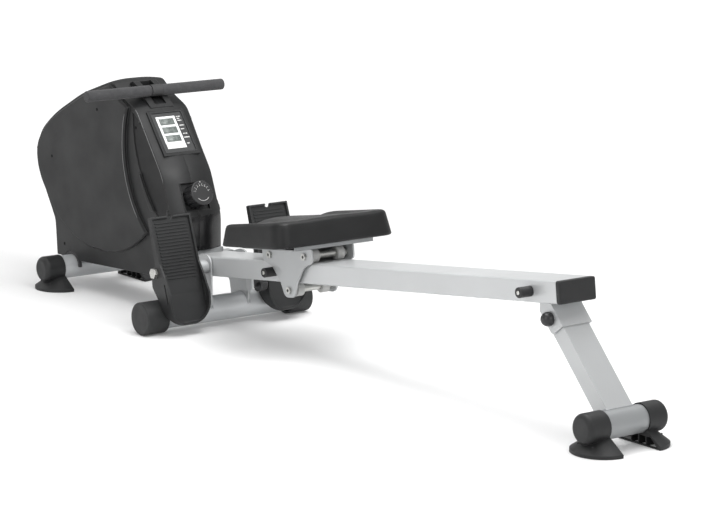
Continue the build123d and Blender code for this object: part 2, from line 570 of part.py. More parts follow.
# ---------------------------------------------------------------- carriage
def build_carriage():
    h = RAIL_H / 2
    up = h + WHEEL_R + 0.1
    down = -h - WHEEL_R - 0.1
    front, rear = CAR_U - CAR_SPREAD, CAR_U + CAR_SPREAD
    low = down - CAR_DROP
    half = CAR_HALF
    plate = rounded([
        (CAR_U - half, CAR_TOP, 6), (CAR_U - half, up - 14, 10), (CAR_U - 64.0, h - 10.0, 26),
        (CAR_U - 33.0, down + 18.0, 16), (CAR_U - 19.0, low, 19), (CAR_U + 19.0, low, 19),
        (CAR_U + 33.0, down + 18.0, 16), (CAR_U + 64.0, h - 10.0, 26), (CAR_U + half, up - 14, 10),
        (CAR_U + half, CAR_TOP, 6)])
    plate = slab(plate, -CAR_PLATE_IN - CAR_PLATE_T, -CAR_PLATE_IN)
    for u, w in ((front, up), (rear, up), (CAR_U, down)):
        plate -= rod(u, w, CAR_AXLE_R, -CAR_PLATE_IN - CAR_PLATE_T - 1, -CAR_PLATE_IN + 1)
    nodes["carriage_plate_left"] = RAIL * plate
    nodes["carriage_plate_right"] = RAIL * flip(plate)

    axles = []
    y = CAR_PLATE_IN + CAR_PLATE_T
    for u, w in ((front, up), (rear, up), (CAR_U, down)):
        axle = rod(u, w, CAR_AXLE_R, -y, y)
        axle += hexagon(u, w, CAR_HEAD_R, -y - CAR_HEAD_T, -y) + hexagon(u, w, CAR_HEAD_R, y, y + CAR_HEAD_T)
        for side in (-1, 1):
            inner, outer = WHEEL_Y + WHEEL_LEN + GAP, CAR_PLATE_IN
            sleeve = rod(u, w, CAR_AXLE_R + 3, side * inner, side * outer)
            axle += sleeve
        axle += rod(u, w, CAR_AXLE_R + 3, -WHEEL_Y + GAP, WHEEL_Y - GAP)
        axles.append(axle)
    nodes["carriage_axles"] = RAIL * Compound(axles)

    for name, u, w in (("roller_front", front, up), ("roller_rear", rear, up), ("roller_under", CAR_U, down)):
        wheel = rod(u, w, WHEEL_R, -WHEEL_Y - WHEEL_LEN, -WHEEL_Y)
        wheel = chamfer(wheel.faces().filter_by(Axis.Y).edges(), 1.5)
        wheel -= rod(u, w, CAR_AXLE_R + RUN, -WHEEL_Y - WHEEL_LEN - 1, -WHEEL_Y + 1)
        nodes[name] = RAIL * Compound([wheel, flip(wheel)])

    # seat base: a channel over the plates
    y1 = CAR_PLATE_IN + CAR_PLATE_T
    u0, u1 = CAR_U - SEAT_BASE_LEN / 2, CAR_U + SEAT_BASE_LEN / 2
    base = box(u0, u1, -SEAT_BASE_HALF, SEAT_BASE_HALF, CAR_TOP, CAR_TOP + SEAT_BASE_LIP)
    base -= box(u0 + SEAT_BASE_T, u1 - SEAT_BASE_T, -SEAT_BASE_HALF - 1, SEAT_BASE_HALF + 1,
                CAR_TOP + SEAT_BASE_T, CAR_TOP + SEAT_BASE_LIP + 1)
    flange = box(CAR_U - 45, CAR_U + 45, -CAR_PLATE_IN, -CAR_PLATE_IN + SEAT_BASE_T, CAR_TOP - 12, CAR_TOP)
    nodes["seat_base"] = RAIL * (base + flange + flip(flange))

    # pad: drafted walls, top rising to the rear, leg channels that fade out rearwards
    z0 = CAR_TOP + SEAT_BASE_LIP
    pad = extrude(RectangleRounded(PAD_LEN, PAD_W, PAD_CORNER), PAD_REAR_T, taper=PAD_DRAFT)
    half_pad = PAD_LEN / 2
    keep = poly((-half_pad - 1, -1), (half_pad + 1, -1), (half_pad + 1, PAD_REAR_T), (-half_pad - 1, PAD_FRONT_T))
    pad = pad & slab(keep, -PAD_W, PAD_W)
    pad = fillet(pad.faces().sort_by(Axis.Z)[-1].edges(), PAD_EDGE)
    groove_r = (CHANNEL_W * CHANNEL_W / 4 + CHANNEL_DEEP * CHANNEL_DEEP) / (2 * CHANNEL_DEEP)
    rise = degrees(atan2(PAD_REAR_T - PAD_FRONT_T + CHANNEL_DEEP, PAD_LEN))
    for side in (-1, 1):
        start = Pos(-half_pad, side * CHANNEL_Y, PAD_FRONT_T - CHANNEL_DEEP + groove_r)
        pad -= start * Rot(0, 90 - rise, 0) * Cylinder(groove_r, 3 * PAD_LEN)
    nodes["seat_pad"] = RAIL * Pos(CAR_U, 0, z0) * pad


# ---------------------------------------------------------------- housing
def corners(crown, inset=0.0):
    """The side outline's corners moved outwards by the crown and inwards by the
    inset, so that every section of the crowned form has the same edges."""
    moved = []
    count = len(OUTLINE)
    for i, (x, z, r, share) in enumerate(OUTLINE):
        xa, za = OUTLINE[i - 1][:2]
        xb, zb = OUTLINE[(i + 1) % count][:2]
        d1 = Vector(x - xa, z - za).normalized()
        d2 = Vector(xb - x, zb - z).normalized()
        n1, n2 = Vector(-d1.Y, d1.X), Vector(-d2.Y, d2.X)
        turn = d1.X * d2.Y - d1.Y * d2.X
        amount = crown * share - inset
        shift = (n1 + n2) * (amount / (1 + n1.dot(n2)))
        moved.append((x + shift.X, z + shift.Y, r + (amount if turn < 0 else -amount)))
    return moved


def grown(crown, inset=0.0):
    return rounded(corners(crown, inset))


def half_form(inset):
    """Crowned half of the housing, on the -Y side."""
    sections = []
    for y, grow in ((0.0, CROWN), (CROWN_Y, CROWN_MID), (SIDE_Y - inset, 0.0)):
        sections.append(Pos(0, -y, 0) * (Plane.XZ * grown(grow, inset)))
    return loft([s.face() for s in sections])


def build_housing():
    shell = half_form(0) - half_form(SHELL_WALL)
    # raised side panel, bounded behind by a hollow arc
    panel = grown(0.0, 7.0)
    behind = Pos(540.0, 408.0) * Circle(266.0)
    bottom = Pos(160.0, 55.0) * Rectangle(800.0, 130.0)
    disc = Pos(150.0, 380.0) * Ellipse(312.0, 262.0)
    panel = (panel & disc) - behind - bottom
    raised = slab(panel, -SIDE_Y - DISC_RISE, -SIDE_Y + 0.5)
    raised = chamfer(raised.faces().sort_by(Axis.Y)[0].edges(), 4.0)
    rim = grown(0.0, 3.0) & Pos(560.0, 408.0) * Circle(232.0)
    rim -= Pos(160.0, 55.0) * Rectangle(800.0, 400.0)
    strip = slab(rim, -SIDE_Y - RIM_RISE, -SIDE_Y + 0.5)
    shell = shell + raised + strip

    # open underside: low skirt in front, raised over the frame behind
    z_back = CROSS_Z1 + BAR_T + COVER_H
    x_back = CROSS_X1 - 12 - COVER_LEN
    under = make_face(Polyline((-300, 0), (-300, 74), (60, 74), (x_back - 3, 95), (x_back - 3, z_back),
                               (600, z_back), (600, 0), close=True))
    shell -= slab(under, -200, 50)
    # notch over the front stabiliser
    shell -= rod(0, AXIS_Z, CAP_R + 6, -200, 50)
    shell -= box(-CAP_R - 6, CAP_R + 6, -200, 50, 0, AXIS_Z)

    return shell


def on_run(index, crest, down):
    """Place on the run after a corner: local x runs down it, z outwards."""
    (x0, z0), (x1, z1) = crest[index][:2], crest[index + 1][:2]
    slope = atan2(z0 - z1, x1 - x0)
    return Pos(x0 + down * cos(slope), 0, z0 - down * sin(slope)) * Rot(0, degrees(slope), 0)


def build_covers():
    shell = build_housing()
    crest = corners(CROWN)
    face = on_run(CONSOLE_AT, crest, CON_DOWN)
    depth = 0.0                             # console's face, from the crest
    recess = face * Pos(0, 0, depth + 20 - CON_T) * Box(CON_LEN + 1, 2 * CON_HALF + 1, 40)
    rim_l, rim_w = CON_LEN + 2 * CON_RIM, 2 * CON_HALF + 2 * CON_RIM
    bed = face * Pos(0, 0, depth + CON_RIM_H - (CON_T + 5) / 2) * Box(rim_l, rim_w, CON_T + 5)
    bed = chamfer(bed.faces().sort_by(Axis((0, 0, 0), (1, 0, 1)))[-1].edges(), 3.0)
    boss_at = on_run(KNOB_AT, crest, KNOB_DOWN)
    knob_z = -POCKET_DEEP
    side = 2 * POCKET_HALF
    wall = side + 2 * POCKET_WALL
    boss = boss_at * Pos(0, 0, knob_z + POCKET_DEEP / 2 - POCKET_WALL / 2) * Box(wall, wall, POCKET_DEEP + POCKET_WALL)
    knob_seat = boss_at * Pos(0, 0, knob_z + 20) * Box(side, side, 40)
    spindle_hole = boss_at * Cylinder(SPINDLE_KNOB_R + RUN, 120)
    # strap slot under the handle rest
    slot = PULL * Pos(-GUIDE_BACK / 2, 0, 0) * Box(GUIDE_BACK, SLOT_W, SLOT_H)

    half_space = box(-400, 700, -200, 0, 0, 700)
    whole = shell + (boss & half_space) + (bed & half_space)
    whole = whole - recess - knob_seat - spindle_hole - slot
    left = whole & half_space
    left = max(left.solids(), key=lambda s: s.volume)
    for x, z in ((FLY_X - 40, 150.0), (DRIVE_X + 40, 160.0), (FLY_X, FLY_Z - 60), (DRIVE_X + 20, DRIVE_Z - 60)):
        left += rod(x, z, 7.0, -SIDE_Y + 1, -CARRIER_IN - CARRIER_T)
    nodes["housing_left"] = left
    nodes["housing_right"] = flip(left)

    bezel = face * Pos(0, 0, depth - CON_T / 2) * Box(CON_LEN, 2 * CON_HALF, CON_T)
    bezel -= face * Pos(0, LCD_Y, depth) * Box(LCD_LEN + 0.6, 2 * LCD_HALF + 0.6, 2 * LCD_T)
    glass_len = LCD_LEN - BUTTON_LEN - 1.0
    glass = Pos(-(BUTTON_LEN + 1.0) / 2, LCD_Y, depth - LCD_T / 2) * Box(glass_len, 2 * LCD_HALF, LCD_T)
    well_x = LCD_LEN / 2 - BUTTON_LEN / 2
    well = Pos(well_x, LCD_Y, depth - CON_T / 2) * Box(BUTTON_LEN, 2 * LCD_HALF, CON_T)
    nodes["console_bezel"] = bezel - face * well
    nodes["console_screen"] = face * glass
    deep = CON_T - BUTTON_TRAVEL - 0.5
    button = Pos(well_x, LCD_Y, depth + 0.6 - deep / 2) * Box(BUTTON_LEN - 2 * GAP, 2 * LCD_HALF - 2 * GAP, deep)
    nodes["console_button"] = face * button

    knob = Cylinder(KNOB_R, KNOB_LEN)
    knob = fillet(knob.faces().sort_by(Axis.Z)[-1].edges(), 2.0)
    for i in range(KNOB_FLUTES):
        a = 2 * pi * (i + 0.5) / KNOB_FLUTES
        knob -= Pos((KNOB_R + 2.0) * cos(a), (KNOB_R + 2.0) * sin(a), -4) * Cylinder(4.5, KNOB_LEN)
    knob = Pos(0, 0, knob_z + GAP + KNOB_LEN / 2) * knob
    knob += Pos(0, 0, knob_z - 14) * Cylinder(SPINDLE_KNOB_R, 36)
    nodes["resistance_knob"] = boss_at * knob


# ---------------------------------------------------------------- drive
def ring(x, z, outer, inner, y0, y1):
    return rod(x, z, outer, y0, y1) - rod(x, z, inner, y0 - 1, y1 + 1)


def build_drive():
    y_end = CARRIER_IN + CARRIER_T + 8
    shafts = [rod(FLY_X, FLY_Z, SHAFT_R, -y_end, y_end), rod(DRIVE_X, DRIVE_Z, SHAFT_R, -y_end, y_end)]

    half = FLY_T / 2
    wheel = rod(FLY_X, FLY_Z, FLY_R, -half, half)
    for side in (-1, 1):
        web = ring(FLY_X, FLY_Z, FLY_R - FLY_RIM, FLY_HUB_R, side * 4, side * (half + 1))
        wheel -= web
    wheel += rod(FLY_X, FLY_Z, FLY_HUB_R, -half - 6, half + 4)
    wheel -= rod(FLY_X, FLY_Z, SHAFT_R + RUN, -60, 60)
    nodes["flywheel"] = wheel
    y0 = half + 4
    pulley = ring(FLY_X, FLY_Z, FLY_PULLEY_R, SHAFT_R + RUN, y0, BELT_Y + BELT_W / 2 + 2)
    nodes["flywheel_pulley"] = pulley

    y0, y1 = BELT_Y - BELT_W / 2 - 1, BELT_Y + BELT_W / 2 + 1
    drive = ring(DRIVE_X, DRIVE_Z, DRIVE_R, DRIVE_R - 12, y0, y1)
    drive += ring(DRIVE_X, DRIVE_Z, DRIVE_R - 6, SHAFT_R + RUN, BELT_Y - 2, BELT_Y + 2)
    drive += ring(DRIVE_X, DRIVE_Z, 20.0, SHAFT_R + RUN, y0, CARRIER_IN - GAP)
    for i in range(6):
        a = radians(60 * i)
        drive -= rod(DRIVE_X + 50 * cos(a), DRIVE_Z + 50 * sin(a), 15.0, y0 - 1, y1 + 1)
    nodes["drive_pulley"] = drive

    # belt: two tangent runs and two wraps
    dx, dz = DRIVE_X - FLY_X, DRIVE_Z - FLY_Z
    dist = sqrt(dx * dx + dz * dz)
    r1, r2 = FLY_PULLEY_R + 0.3, DRIVE_R + 0.3

    def loop(extra):
        a, b = r1 + extra, r2 + extra
        t = atan2(dz, dx)
        k = (a - b) / dist
        s = sqrt(1 - k * k)
        pts = []
        for sign in (1, -1):
            nx = k * cos(t) - sign * s * sin(t)
            nz = k * sin(t) + sign * s * cos(t)
            pts.append(((FLY_X + a * nx, FLY_Z + a * nz), (DRIVE_X + b * nx, DRIVE_Z + b * nz)))
        (p1, q1), (p2, q2) = pts
        quad = poly(p1, q1, q2, p2)
        return quad + Pos(FLY_X, FLY_Z) * Circle(a) + Pos(DRIVE_X, DRIVE_Z) * Circle(b)

    nodes["belt"] = slab(loop(BELT_T) - loop(0), BELT_Y - BELT_W / 2, BELT_Y + BELT_W / 2)

    reel = ring(DRIVE_X, DRIVE_Z, REEL_R + 14, SHAFT_R + RUN, -REEL_HALF, REEL_HALF)
    for side in (-1, 1):
        a, b = sorted((side * REEL_HALF, side * (REEL_HALF + REEL_FLANGE_T)))
        reel += ring(DRIVE_X, DRIVE_Z, REEL_FLANGE_R, SHAFT_R + RUN, a, b)
    nodes["strap_reel"] = reel
    y1 = -REEL_HALF - REEL_FLANGE_T - GAP
    case = ring(DRIVE_X, DRIVE_Z, SPRING_R, SHAFT_R, -CARRIER_IN, y1)
    nodes["recoil_case"] = case

    # magnet bracket: an arc around the flywheel's front, hinged below
    r0 = FLY_R + MAGNET_GAP
    arm = ring(FLY_X, FLY_Z, r0 + MAGNET_T, r0, -16, 16)
    wedge = Pos(FLY_X, FLY_Z) * poly((0, 0), (-260, 30), (-260, -260 * 1.05))
    arm = arm & slab(wedge, -30, 30)
    hinge_a = radians(228)
    hx, hz = FLY_X + (r0 + 8) * cos(hinge_a), FLY_Z + (r0 + 8) * sin(hinge_a)
    arm += rod(hx, hz, 8.0, -16, 16)
    arm -= rod(hx, hz, 4.0 + RUN, -17, 17)
    nodes["magnet_bracket"] = arm
    shafts.append(rod(hx, hz, 4.0, -CARRIER_IN, CARRIER_IN))

    # strap guide roller under the handle rest
    pull = radians(PULL_RISE)
    drop = GUIDE_R + STRAP_T / 2 + 0.2
    gx = HANDLE_X - GUIDE_BACK * cos(pull) + drop * sin(pull)
    gz = HANDLE_Z - GUIDE_BACK * sin(pull) - drop * cos(pull)
    guide = ring(gx, gz, GUIDE_R, 4.0 + RUN, -STRAP_W / 2 - 2, STRAP_W / 2 + 2)
    nodes["guide_roller"] = guide
    shafts.append(rod(gx, gz, 4.0, -CARRIER_IN, CARRIER_IN))
    nodes["shafts"] = Compound(shafts)
    for name in ("carrier_left", "carrier_right"):
        side = -1 if name.endswith("left") else 1
        y0, y1 = sorted((side * CARRIER_IN, side * (CARRIER_IN + CARRIER_T)))
        mast = rounded([(DRIVE_X - 24, DRIVE_Z, 2), (gx - 12, gz + 10, 9), (gx + 12, gz + 10, 9),
                        (DRIVE_X + 24, DRIVE_Z, 2)])
        lug = rounded([(FLY_X - 40, FLY_Z - 60, 2), (hx - 12, hz + 8, 8), (hx - 8, hz - 12, 8),
                       (FLY_X - 30, 150, 2)])
        plate = nodes[name] + slab(mast, y0, y1) + slab(lug, y0, y1)
        nodes[name] = plate - rod(DRIVE_X, DRIVE_Z, SHAFT_R, y0 - 1, y1 + 1)

    # strap between reel and guide roller
    sx = gx - GUIDE_R - 0.2
    rx = DRIVE_X - REEL_R - 14 - 0.3
    run = poly((sx, gz), (sx - STRAP_T, gz), (rx - STRAP_T, DRIVE_Z), (rx, DRIVE_Z))
    nodes["strap_inner"] = slab(run, -STRAP_W / 2, STRAP_W / 2)


# ---------------------------------------------------------------- handle
def build_handle():
    bar = rod(0, 0, BAR_R, -HANDLE_HALF + 3, HANDLE_HALF - 3) - rod(0, 0, BAR_R - 2, -HANDLE_HALF, HANDLE_HALF)
    nodes["handle_bar"] = PULL * bar
    grips = []
    for side in (-1, 1):
        y0, y1 = sorted((side * (CLIP_HALF + 0.5), side * HANDLE_HALF))
        grip = rod(0, 0, GRIP_R, y0, y1)
        grip = fillet(grip.faces().filter_by(Axis.Y).edges(), 2.5)
        end = side * (HANDLE_HALF - 3)
        grip -= rod(0, 0, BAR_R, *sorted((0, end)))
        grips.append(grip)
    nodes["handle_grips"] = PULL * Compound(grips)
    clip = rod(0, 0, CLIP_R - 2, -CLIP_HALF, CLIP_HALF) - rod(0, 0, BAR_R, -60, 60)
    nose = box(-CLIP_R - 9, -BAR_R - 0.5, -CLIP_HALF, CLIP_HALF, -4, 4)
    clip += nose
    clip -= box(-CLIP_R - 10, -CLIP_R - 1, -STRAP_W / 2, STRAP_W / 2, -STRAP_T / 2, STRAP_T / 2)
    nodes["strap_clip"] = PULL * clip
    nodes["strap"] = PULL * box(-GUIDE_BACK, -CLIP_R - 1, -STRAP_W / 2 + 0.3, STRAP_W / 2 - 0.3,
                                -STRAP_T / 2 + 0.1, STRAP_T / 2 - 0.1)

    # saddle on the housing's top corner: a block ahead of the bar, a trough
    # under it and a tongue behind, with one long window for the strap
    block = rounded([
        (-REST_FRONT, -60, 1), (-REST_FRONT, REST_TOP - 6, 5), (-REST_FRONT + 14, REST_TOP, 6),
        (-GRIP_R - 5, 6, 5), (0, -GRIP_R, 3), (5, -GRIP_R - 1, 6),
        (REST_TONGUE, -HANDLE_LIFT + 3, 4), (REST_TONGUE - 6, -60, 1)])
    here = Pos(HANDLE_X, 0, HANDLE_Z)
    rest = slab(block, -REST_HALF, REST_HALF)
    rest -= rod(0, 0, GRIP_R + 1.0, -60, 60)
    rest -= box(-REST_FRONT + REST_LIP, REST_TONGUE - REST_LIP, -SLOT_W / 2, SLOT_W / 2, -60, 60)
    nodes["handle_rest"] = here * rest - slab(grown(CROWN, -0.2), -REST_HALF - 1, REST_HALF + 1)


def main():
    build_stabilisers()
    build_frame()
    build_pedals()
    build_rail()
    build_leg()
    build_carriage()
    build_covers()
    build_drive()
    build_handle()
    os.makedirs("parts", exist_ok=True)
    for name, shape in nodes.items():
        moved = Pos(-MID_X, 0, 0) * shape
        export_step(moved, f"parts/{name}.step")


main()
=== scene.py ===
import json
from math import atan2, cos, exp, pi, radians, sin
import bmesh
import bpy
from mathutils import Matrix, Vector


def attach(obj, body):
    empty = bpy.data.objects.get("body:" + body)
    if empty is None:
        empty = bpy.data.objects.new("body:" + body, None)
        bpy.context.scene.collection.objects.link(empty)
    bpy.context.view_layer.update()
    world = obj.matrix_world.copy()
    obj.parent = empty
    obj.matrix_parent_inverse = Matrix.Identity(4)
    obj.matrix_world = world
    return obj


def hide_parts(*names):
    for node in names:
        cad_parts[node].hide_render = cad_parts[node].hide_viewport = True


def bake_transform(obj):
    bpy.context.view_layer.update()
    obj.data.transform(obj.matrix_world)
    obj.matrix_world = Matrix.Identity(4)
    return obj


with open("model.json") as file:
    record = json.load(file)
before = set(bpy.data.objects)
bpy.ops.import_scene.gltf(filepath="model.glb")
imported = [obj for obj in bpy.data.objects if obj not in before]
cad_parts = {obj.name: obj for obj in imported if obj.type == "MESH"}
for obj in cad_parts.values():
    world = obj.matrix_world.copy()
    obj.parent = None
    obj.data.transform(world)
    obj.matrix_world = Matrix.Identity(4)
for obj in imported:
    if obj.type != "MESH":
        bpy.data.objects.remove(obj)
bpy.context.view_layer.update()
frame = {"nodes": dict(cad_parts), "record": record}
nodes = frame["nodes"]
scene = bpy.context.scene


# ---------------------------------------------------------------- materials
ROUGH_SPREAD = 0.07  # how far the roughness wanders either way
RELIEF = 0.0006      # depth of the surface grain, m


def material(name, color, rough=0.5, metal=0.0, grain=400.0, bump=0.1, mottle=0.12,
             spots=14.0, edge=0.0012, wear_and_highlight=0.25, coat=0.0, sheen=0.0, spec=0.5, streak=None, weave=None):
    """Principled material with colour mottling, a surface grain, soft edges and
    lighter corners, all in object space; the corners stand for wear and, where lightened strongly, for a
    painted highlight along the edges."""
    m = bpy.data.materials.new(name)
    m.use_nodes = True
    t = m.node_tree
    n, link = t.nodes, t.links
    bsdf = n["Principled BSDF"]
    coord = n.new("ShaderNodeTexCoord")
    place = n.new("ShaderNodeMapping")
    place.inputs["Scale"].default_value = streak or (1, 1, 1)
    link.new(coord.outputs["Object"], place.inputs["Vector"])

    def noise(scale, detail):
        x = n.new("ShaderNodeTexNoise")
        x.inputs["Scale"].default_value = scale
        x.inputs["Detail"].default_value = detail
        link.new(place.outputs["Vector"], x.inputs["Vector"])
        return x.outputs["Fac"]

    def ranged(value, low, high, a=0.3, b=0.7):
        x = n.new("ShaderNodeMapRange")
        x.inputs["From Min"].default_value = a
        x.inputs["From Max"].default_value = b
        x.inputs["To Min"].default_value = low
        x.inputs["To Max"].default_value = high
        link.new(value, x.inputs["Value"])
        return x.outputs["Result"]

    def mixed(fac, a, b):
        x = n.new("ShaderNodeMix")
        x.data_type = "RGBA"
        link.new(fac, x.inputs["Factor"])
        for socket, value in ((x.inputs["A"], a), (x.inputs["B"], b)):
            if isinstance(value, tuple):
                socket.default_value = value
            else:
                link.new(value, socket)
        return x.outputs["Result"]

    low = tuple(c * (1 - mottle) for c in color) + (1,)
    high = tuple(min(1.0, c * (1 + mottle)) for c in color) + (1,)
    body = mixed(ranged(noise(spots, 4), 0, 1), low, high)
    # corners: where the bevelled normal leaves the true one; lightened there as wear and, where strong, as a
    # painted highlight
    soft = n.new("ShaderNodeBevel")
    soft.samples = 4
    soft.inputs["Radius"].default_value = edge
    geo = n.new("ShaderNodeNewGeometry")
    dot = n.new("ShaderNodeVectorMath")
    dot.operation = "DOT_PRODUCT"
    link.new(soft.outputs["Normal"], dot.inputs[0])
    link.new(geo.outputs["Normal"], dot.inputs[1])
    corner = ranged(dot.outputs["Value"], wear_and_highlight, 0.0, 0.75, 0.98)
    pale = tuple(min(1.0, c * 1.7 + 0.05) for c in color) + (1,)
    link.new(mixed(corner, body, pale), bsdf.inputs["Base Color"])
    smoother, rougher = max(0.03, rough - ROUGH_SPREAD), min(1, rough + ROUGH_SPREAD)
    link.new(ranged(noise(spots * 3, 3), smoother, rougher), bsdf.inputs["Roughness"])
    height = noise(grain, 3)
    if weave:
        both = n.new("ShaderNodeMath")
        both.operation = "MULTIPLY"
        for bands, socket in zip("YX", both.inputs):
            wave = n.new("ShaderNodeTexWave")
            wave.bands_direction = bands
            wave.inputs["Scale"].default_value = weave
            link.new(coord.outputs["Object"], wave.inputs["Vector"])
            link.new(wave.outputs["Fac"], socket)
        height = both.outputs["Value"]
    relief = n.new("ShaderNodeBump")
    relief.inputs["Strength"].default_value = bump
    relief.inputs["Distance"].default_value = RELIEF
    link.new(height, relief.inputs["Height"])
    link.new(soft.outputs["Normal"], relief.inputs["Normal"])
    link.new(relief.outputs["Normal"], bsdf.inputs["Normal"])
    bsdf.inputs["Metallic"].default_value = metal
    bsdf.inputs["Specular IOR Level"].default_value = spec
    bsdf.inputs["Coat Weight"].default_value = coat
    bsdf.inputs["Coat Roughness"].default_value = 0.15
    bsdf.inputs["Sheen Weight"].default_value = sheen
    m.diffuse_color = tuple(color) + (1,)
    return m


# the painted and plated metal of tubes and plates
SILVER = dict(rough=0.40, metal=0.30, grain=900, bump=0.05, mottle=0.03, spots=5, wear_and_highlight=0.10, coat=0.20)
LOOKS = {
    "rail_silver": dict(color=(0.51, 0.52, 0.525), **SILVER),
    "tube_silver": dict(color=(0.58, 0.595, 0.605), **SILVER),
    "plate_silver": dict(color=(0.42, 0.43, 0.435), **SILVER),
    # darker copies of the silver: painted shade for pieces that read darker under the light
    "leg_silver_painted_shade": dict(color=(0.475, 0.485, 0.49), **SILVER),
    "silver_painted_shade": dict(color=(0.29, 0.30, 0.305), **SILVER),
    "carrier_steel": dict(color=(0.035, 0.035, 0.038), rough=0.45, coat=0.2, grain=500),
    # edges lightened strongly: a painted highlight along the housing's edges
    "housing_black": dict(color=(0.0105, 0.0108, 0.0112), rough=0.46, grain=1500, bump=0.10, mottle=0.05,
                          spots=4, edge=0.0026, wear_and_highlight=0.85, spec=0.32),
    # the hollow's bottom: darker plastic as painted shade of the recess
    "housing_hollow_painted_shade": dict(color=(0.0045, 0.0045, 0.005), rough=0.50, grain=1500, bump=0.06, mottle=0.05,
                         spots=4, edge=0.0022, wear_and_highlight=0.60, spec=0.28),
    # glossy lower rear face: the gloss is the plastic's own, the darker colour is painted shade of the recess
    "housing_gloss_painted_shade": dict(color=(0.008, 0.008, 0.0085), rough=0.22, grain=1500, bump=0.03, mottle=0.05,
                          spots=4, edge=0.0022, wear_and_highlight=0.40, spec=0.40),
    "cap_black": dict(color=(0.016, 0.0165, 0.017), rough=0.50, spec=0.38, grain=1300, bump=0.15,
                      mottle=0.10, edge=0.002, wear_and_highlight=0.15),
    "pedal_black": dict(color=(0.017, 0.0175, 0.018), rough=0.48, spec=0.38, grain=1200, bump=0.15,
                        mottle=0.10, edge=0.0006, wear_and_highlight=0.25),
    "roller_black": dict(color=(0.022, 0.0225, 0.023), rough=0.55, spec=0.38, grain=1000, bump=0.2,
                         mottle=0.12, wear_and_highlight=0.15),
    "knob_black": dict(color=(0.017, 0.017, 0.018), rough=0.34, grain=700, bump=0.05, mottle=0.08,
                       wear_and_highlight=0.2),
    "console_plastic": dict(color=(0.020, 0.021, 0.022), rough=0.34, grain=900, bump=0.05, mottle=0.06),
    "screen": dict(color=(0.80, 0.81, 0.81), rough=0.30, grain=900, bump=0.02, mottle=0.02, wear_and_highlight=0.0),
    "button_white": dict(color=(0.82, 0.82, 0.81), rough=0.35, grain=800, bump=0.04, mottle=0.03, wear_and_highlight=0.0),
    "foam": dict(color=(0.042, 0.042, 0.044), rough=0.90, grain=1600, bump=0.7, mottle=0.16, spots=70,
                 edge=0.002, wear_and_highlight=0.10, sheen=0.12),
    "stop_rubber": dict(color=(0.016, 0.016, 0.017), rough=0.55, grain=900, bump=0.2),
    "seat_cover": dict(color=(0.0060, 0.0062, 0.0065), rough=0.40, spec=0.30, grain=2000, bump=0.35,
                       mottle=0.10, spots=9, edge=0.002, wear_and_highlight=0.10),
    "bar_steel": dict(color=(0.50, 0.51, 0.52), rough=0.3, metal=1.0, grain=300, bump=0.05,
                      streak=(1, 30, 1)),
    "zinc": dict(color=(0.50, 0.50, 0.48), rough=0.33, metal=0.9, grain=260, bump=0.12, mottle=0.10,
                 spots=90, edge=0.0006, wear_and_highlight=0.2),
    "wheel_nylon": dict(color=(0.42, 0.42, 0.41), rough=0.42, grain=700, bump=0.08, mottle=0.05),
    "drive_plastic": dict(color=(0.030, 0.030, 0.031), rough=0.6, grain=900, bump=0.12),
    "cast_iron": dict(color=(0.10, 0.10, 0.10), rough=0.55, metal=0.7, grain=380, bump=0.5, mottle=0.2,
                      spots=50),
    "pulley_alloy": dict(color=(0.60, 0.60, 0.62), rough=0.3, metal=1.0, streak=(30, 1, 30), bump=0.08),
    "webbing": dict(color=(0.018, 0.018, 0.019), rough=0.85, bump=0.9, mottle=0.2, spots=80, weave=260,
                    sheen=0.2),
    "belt_rubber": dict(color=(0.02, 0.02, 0.02), rough=0.65, bump=0.5, weave=180),
    "ink": dict(color=(0.74, 0.74, 0.73), rough=0.55, grain=1500, bump=0.05, mottle=0.04, wear_and_highlight=0.0),
    "lcd": dict(color=(0.17, 0.19, 0.18), rough=0.22, grain=1500, bump=0.02, mottle=0.06, wear_and_highlight=0.0),
    "segment": dict(color=(0.075, 0.085, 0.080), rough=0.4, bump=0.02, mottle=0.05, wear_and_highlight=0.0),
    "screw": dict(color=(0.003, 0.003, 0.003), rough=0.70, spec=0.15, grain=500, bump=0.1, wear_and_highlight=0.10),
    # pale grey beads on the housing's edges: painted highlight
    "edge_painted_highlight": dict(color=(0.19, 0.192, 0.195), rough=0.45, grain=900, bump=0.05, wear_and_highlight=0.10),
    "weld": dict(color=(0.40, 0.41, 0.42), rough=0.42, metal=0.3, grain=260, bump=0.5, mottle=0.10,
                 spots=120, edge=0.0004),
    # near-black: the dark joint between the shells, and painted shade inside the axles' sockets
    "seam_and_socket_shade": dict(color=(0.008, 0.008, 0.008), rough=0.6, bump=0.05, wear_and_highlight=0.0),
}
MAT = {name: material(name, **look) for name, look in LOOKS.items()}


def paint(obj, name):
    """Give an object one look."""
    obj.data.materials.clear()
    obj.data.materials.append(MAT[name])


def smooth(obj, angle):
    """Shade an object smooth, with creases kept at sharp angles."""
    me = obj.data
    for p in me.polygons:
        p.use_smooth = True
    bm = bmesh.new()
    bm.from_mesh(me)
    sharp = [e.index for e in bm.edges if len(e.link_faces) != 2 or e.calc_face_angle(0.0) > radians(angle)]
    bm.free()
    for i in sharp:
        me.edges[i].use_edge_sharp = True


# pieces painted darker than the rest of their slot, as painted shade: their metal is the slot's own silver
PAINTED_SHADE = {"leg_tube": "leg_silver_painted_shade", "leg_bracket": "leg_silver_painted_shade", "rear_stabilizer": "silver_painted_shade",
         "seat_base": "silver_painted_shade"}
for part in frame["record"]["subparts"]:
    paint(nodes[part["node"]], PAINTED_SHADE.get(part["node"], part["material_slot"]))

